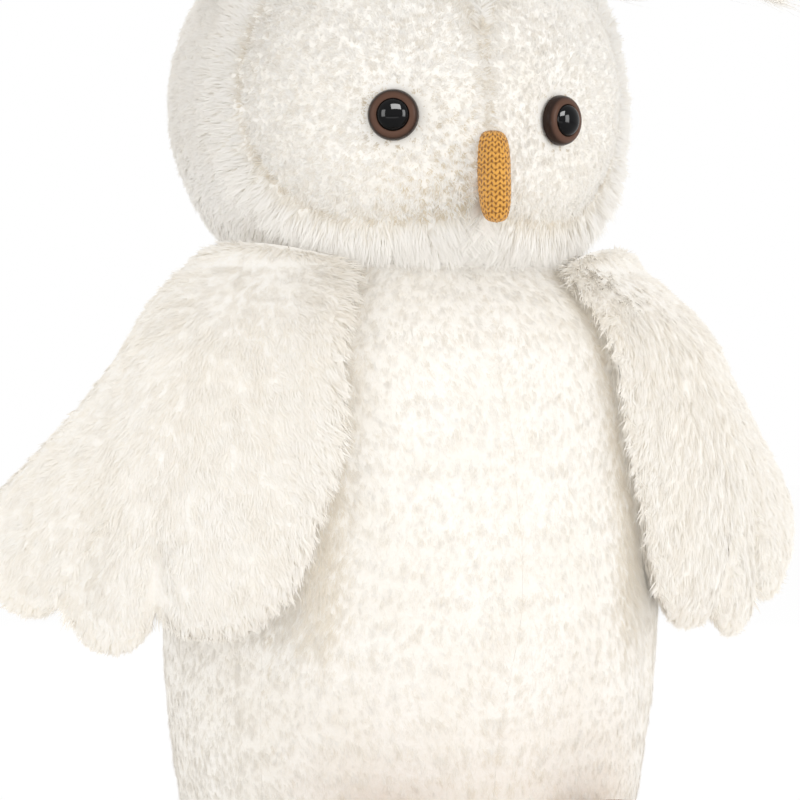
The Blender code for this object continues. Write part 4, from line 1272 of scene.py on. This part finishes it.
def build_feet():
    """The mustard feet with three toes and flat soles."""
    c = colours()
    nap = shared("mustard_nap", pile_material, c.mustard_shade_and_mottle, c.mustard, c.mustard)
    cloth = shared("mustard_cloth", cloth_material, c.mustard, c.mustard_shade_and_mottle, bump=0.6)

    def comb(points, normals):
        return np.broadcast_to(np.array((0.2, -0.6, -0.6)), points.shape)

    upper, sole = Form(foot_place, comb), Form(sole_place, comb)
    upper.outward = form_outward(upper, UP)
    growth = Growth(0.0014, 0.0003, 0.5, 0.0012, 0.4, 0.9, segments=1)
    for side_name, side in SIDES:
        body = f"foot_{side_name}"
        for kind, form, rows, thickness, node_end in (
            ("foot", upper, 16, THIN, "upper"), ("sole", sole, 6, 0.003, "sole"),
        ):
            name = f"{kind}_cover_{side_name}"
            mesh = grid_mesh(name, form, 96, rows, side, thickness, closed=True)
            dress(name, mesh, cloth, body, "mustard_cloth", f"{body}_{node_end}")
        grow(f"foot_nap_{side_name}", upper, growth, 5.0, 231 + side, side, nap, body)


def build_tail():
    """The short tail flap at the back."""
    cloth, fur = cream_cloth(), cream_pile()

    def comb(points, normals):
        return np.broadcast_to(np.array((0.0, 0.3, -1.0)), points.shape)

    growth = Growth(pile().body_length * 1.2, 0.00038, 0.28, 0.0024, 0.42, 0.4)
    for piece, facing in (("upper", 1), ("under", -1)):
        form = Form(tail_place(facing), comb)
        form.outward = form_outward(form, np.array((0, facing, 0.2)))
        name = f"tail_{piece}_cover"
        mesh = grid_mesh(name, form, 72, 14, 1, THIN, closed=True)
        dress(name, mesh, cloth, "tail", "body_pile", f"tail_{piece}")
        grow(f"tail_{piece}_pile", form, growth, pile().density, 251 + facing, 1, fur, "tail")


def finish_inner_pieces():
    """Materials for the pieces inside: stuffing, pellet bag, base and eye washers."""
    stuffing = cloth_material(
        "fibre_filling", (0.92, 0.92, 0.90), (0.72, 0.72, 0.70), 500.0, 60.0, 0.5, 0.001
    )
    bag = cloth_material("pellet_cloth", (0.60, 0.60, 0.57), (0.42, 0.42, 0.40), 1400.0, 90.0, 0.4)
    base = cloth_material("base_cloth", (0.84, 0.80, 0.73), (0.66, 0.60, 0.52), 1200.0, 60.0, 0.4)
    washer = moulded_material(
        "washer_plastic", (0.82, 0.82, 0.80), (0.66, 0.66, 0.64), -0.01, 0.01, rough=0.45
    )
    finishes = (("stuffing", stuffing), ("pellet_bag", bag), ("base_panel", base), ("eye_washer", washer))
    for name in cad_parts:
        for part, finish in finishes:
            if part in name:
                for slot in bpy.data.objects[name].material_slots:
                    slot.material = finish


def build_studio():
    """A pale floor, soft lamps and the camera at the photograph's place."""
    scene = bpy.context.scene
    for name in ("Cube", "Light", "Camera"):
        if name in bpy.data.objects:
            bpy.data.objects.remove(bpy.data.objects[name])
    scene.view_settings.view_transform = "Standard"
    heading = math.radians(-21)
    back = Vector((math.sin(heading), -math.cos(heading), 0))
    right = Vector((math.cos(heading), math.sin(heading), 0))
    aim = right * -0.00275 + Vector((0, 0, 0.1457))

    mesh = bpy.data.meshes.new("floor")
    half = 4.0
    corners = [(-half, -half, 0), (half, -half, 0), (half, half, 0), (-half, half, 0)]
    mesh.from_pydata(corners, [], [(0, 1, 2, 3)])
    floor = new_object("floor", mesh, floor_material(), smooth=False)
    floor.location.z = -0.0005

    world = bpy.data.worlds.new("studio")
    scene.world = world
    world.use_nodes = True
    tree = world.node_tree
    tree.nodes.clear()
    seen = node(tree, "ShaderNodeBackground", {"Color": (1, 1, 1, 1), "Strength": 1.0})
    lit = node(tree, "ShaderNodeBackground", {"Color": (1, 1, 1, 1), "Strength": 0.86})
    path = node(tree, "ShaderNodeLightPath")
    direct = node(tree, "ShaderNodeMath", {
        0: path.outputs["Is Camera Ray"], 1: path.outputs["Is Glossy Ray"],
    }, operation="MAXIMUM")
    seen_by = node(tree, "ShaderNodeMath", {
        0: direct.outputs[0], 1: path.outputs["Is Transmission Ray"],
    }, operation="MAXIMUM")
    mix = node(tree, "ShaderNodeMixShader", {0: seen_by.outputs[0], 1: lit.outputs[0], 2: seen.outputs[0]})
    node(tree, "ShaderNodeOutputWorld", {"Surface": mix.outputs[0]})

    for name, place, size, power in (
        ("key", right * 0.35 + back * 1.0 + Vector((0, 0, 0.95)), (0.75, 0.45), 0.7),
        ("left", right * -1.0 + back * 0.9 + Vector((0, 0, 0.42)), (0.35, 0.6), 1.75),
        ("right", right * 1.1 + back * 0.8 + Vector((0, 0, 0.45)), (0.35, 0.6), 3.7),
        ("crown", back * -0.7 + Vector((0, 0, 1.1)), (0.8, 0.5), 2.2),
        ("behind", back * -1.0 + Vector((0, 0, 0.45)), (0.6, 0.6), 2.6),
        ("low", right * -0.1 + back * 0.8 + Vector((0, 0, 0.03)), (0.8, 0.06), 0.45),
    ):
        new_lamp(name, place, size, power, 0.17)
    windows_in_eyes(scene, (
        ("window", right * 0.25 + back * 1.1 + Vector((0, 0, 1.05)), (1.1, 0.7), 105.0),
        ("window_left", right * -1.1 + back * 0.95 + Vector((0, 0, 0.33)), (0.6, 0.8), 20.0),
        ("window_right", right * 1.15 + back * 0.85 + Vector((0, 0, 0.33)), (0.6, 0.8), 24.0),
    ))

    camera = bpy.data.cameras.new("camera")
    camera.lens = 145.2
    camera.sensor_width = 36
    obj = bpy.data.objects.new("camera", camera)
    scene.collection.objects.link(obj)
    obj.location = aim + back * 1.0
    obj.rotation_euler = back.to_track_quat("Z", "Y").to_euler()
    scene.camera = obj


def windows_in_eyes(scene, windows):
    """Broad soft windows that only the pupils mirror."""
    pupils = bpy.data.collections.new("pupils")
    for name in ("eye_dome_left", "eye_dome_right"):
        pupils.objects.link(bpy.data.objects[name])
    for name, place, size, power in windows:
        obj = new_lamp(name, place, size, power, 0.23)
        obj.light_linking.receiver_collection = pupils


def new_lamp(name, place, size, power, height):
    """A rectangular lamp that looks at the owl's axis at a height."""
    lamp = bpy.data.lights.new(name, "AREA")
    lamp.shape = "RECTANGLE"
    lamp.size, lamp.size_y = size
    lamp.energy = power
    obj = bpy.data.objects.new(name, lamp)
    bpy.context.scene.collection.objects.link(obj)
    obj.location = place
    obj.rotation_euler = (place - Vector((0, 0, height))).to_track_quat("Z", "Y").to_euler()
    return obj


def floor_material():
    """A pale paper floor: nearly white where the camera sees it, with the owl's soft shadow."""
    material, tree, shader = new_material("floor_paper")
    place = node(tree, "ShaderNodeTexCoord").outputs["Object"]
    grain = node(tree, "ShaderNodeTexNoise", {"Vector": place, "Scale": 300.0, "Detail": 3.0}).outputs[0]
    feed(tree, shader, {"Base Color": ranged(tree, grain, 0.0, 1.0, 0.94, 0.97), "Roughness": 0.95})
    path = node(tree, "ShaderNodeLightPath")
    white = node(tree, "ShaderNodeEmission", {"Color": (1, 1, 1, 1), "Strength": 1.0})
    share = node(tree, "ShaderNodeMath", {0: path.outputs["Is Camera Ray"], 1: 0.94}, operation="MULTIPLY")
    mix = node(tree, "ShaderNodeMixShader", {0: share.outputs[0], 1: shader.outputs[0], 2: white.outputs[0]})
    tree.links.new(mix.outputs[0], tree.nodes["Material Output"].inputs["Surface"])
    return material


# Operators
def piece_operator(key, label, does, build):
    """An operator that builds one group of pieces."""
    def execute(self, context):
        build()
        return {"FINISHED"}

    return type(f"OWL_OT_{key}", (bpy.types.Operator,), {
        "__doc__": does, "bl_idname": f"owl.{key}", "bl_label": label,
        "bl_options": {"REGISTER", "UNDO"}, "execute": execute,
    })


OPERATORS = tuple(piece_operator(*row) for row in (
    ("inner", "Inner Pieces", "Gives the stuffing, the pellet bag, the base and the washers their finishes",
     finish_inner_pieces),
    ("body", "Body", "Covers the body and grows its combed pile", build_body),
    ("head", "Head", "Covers the head's sides and grows the brow and the ruff", build_head),
    ("face", "Face", "Covers the face panels and grows their curled pile", build_face),
    ("tufts", "Ear Tufts", "Grows the long ear tufts", build_ear_tufts),
    ("eyes", "Eyes", "Turns the moulded eyes", build_eyes),
    ("beak", "Beak", "Knits the beak", build_beak),
    ("wings", "Wings", "Covers the wings and grows their long pile", build_wings),
    ("feet", "Feet", "Covers the feet and their soles", build_feet),
    ("tail", "Tail", "Covers the tail", build_tail),
    ("studio", "Studio", "Sets the floor, the lamps and the camera", build_studio),
))


class OWL_PT_panel(bpy.types.Panel):
    """The owl's tools in the 3D view's sidebar."""

    bl_idname = "OWL_PT_panel"
    bl_label = "Plush Owl"
    bl_space_type = "VIEW_3D"
    bl_region_type = "UI"
    bl_category = "Plush Owl"

    def draw(self, context):
        layout = self.layout
        for group in (context.scene.owl_sizes, context.scene.owl_pile, context.scene.owl_colours):
            box = layout.box()
            for key in group.__annotations__:
                box.prop(group, key)
        for operator in OPERATORS:
            layout.operator(operator.bl_idname)


CLASSES = (OwlSizes, OwlPile, OwlColours, *OPERATORS, OWL_PT_panel)


def register():
    for cls in CLASSES:
        bpy.utils.register_class(cls)
    bpy.types.Scene.owl_sizes = bpy.props.PointerProperty(type=OwlSizes)
    bpy.types.Scene.owl_pile = bpy.props.PointerProperty(type=OwlPile)
    bpy.types.Scene.owl_colours = bpy.props.PointerProperty(type=OwlColours)


def unregister():
    del bpy.types.Scene.owl_colours
    del bpy.types.Scene.owl_pile
    del bpy.types.Scene.owl_sizes
    for cls in reversed(CLASSES):
        bpy.utils.unregister_class(cls)


def main():
    register()
    for operator in OPERATORS:
        group, name = operator.bl_idname.split(".")
        getattr(getattr(bpy.ops, group), name)()


if __name__ == "__main__":
    main()
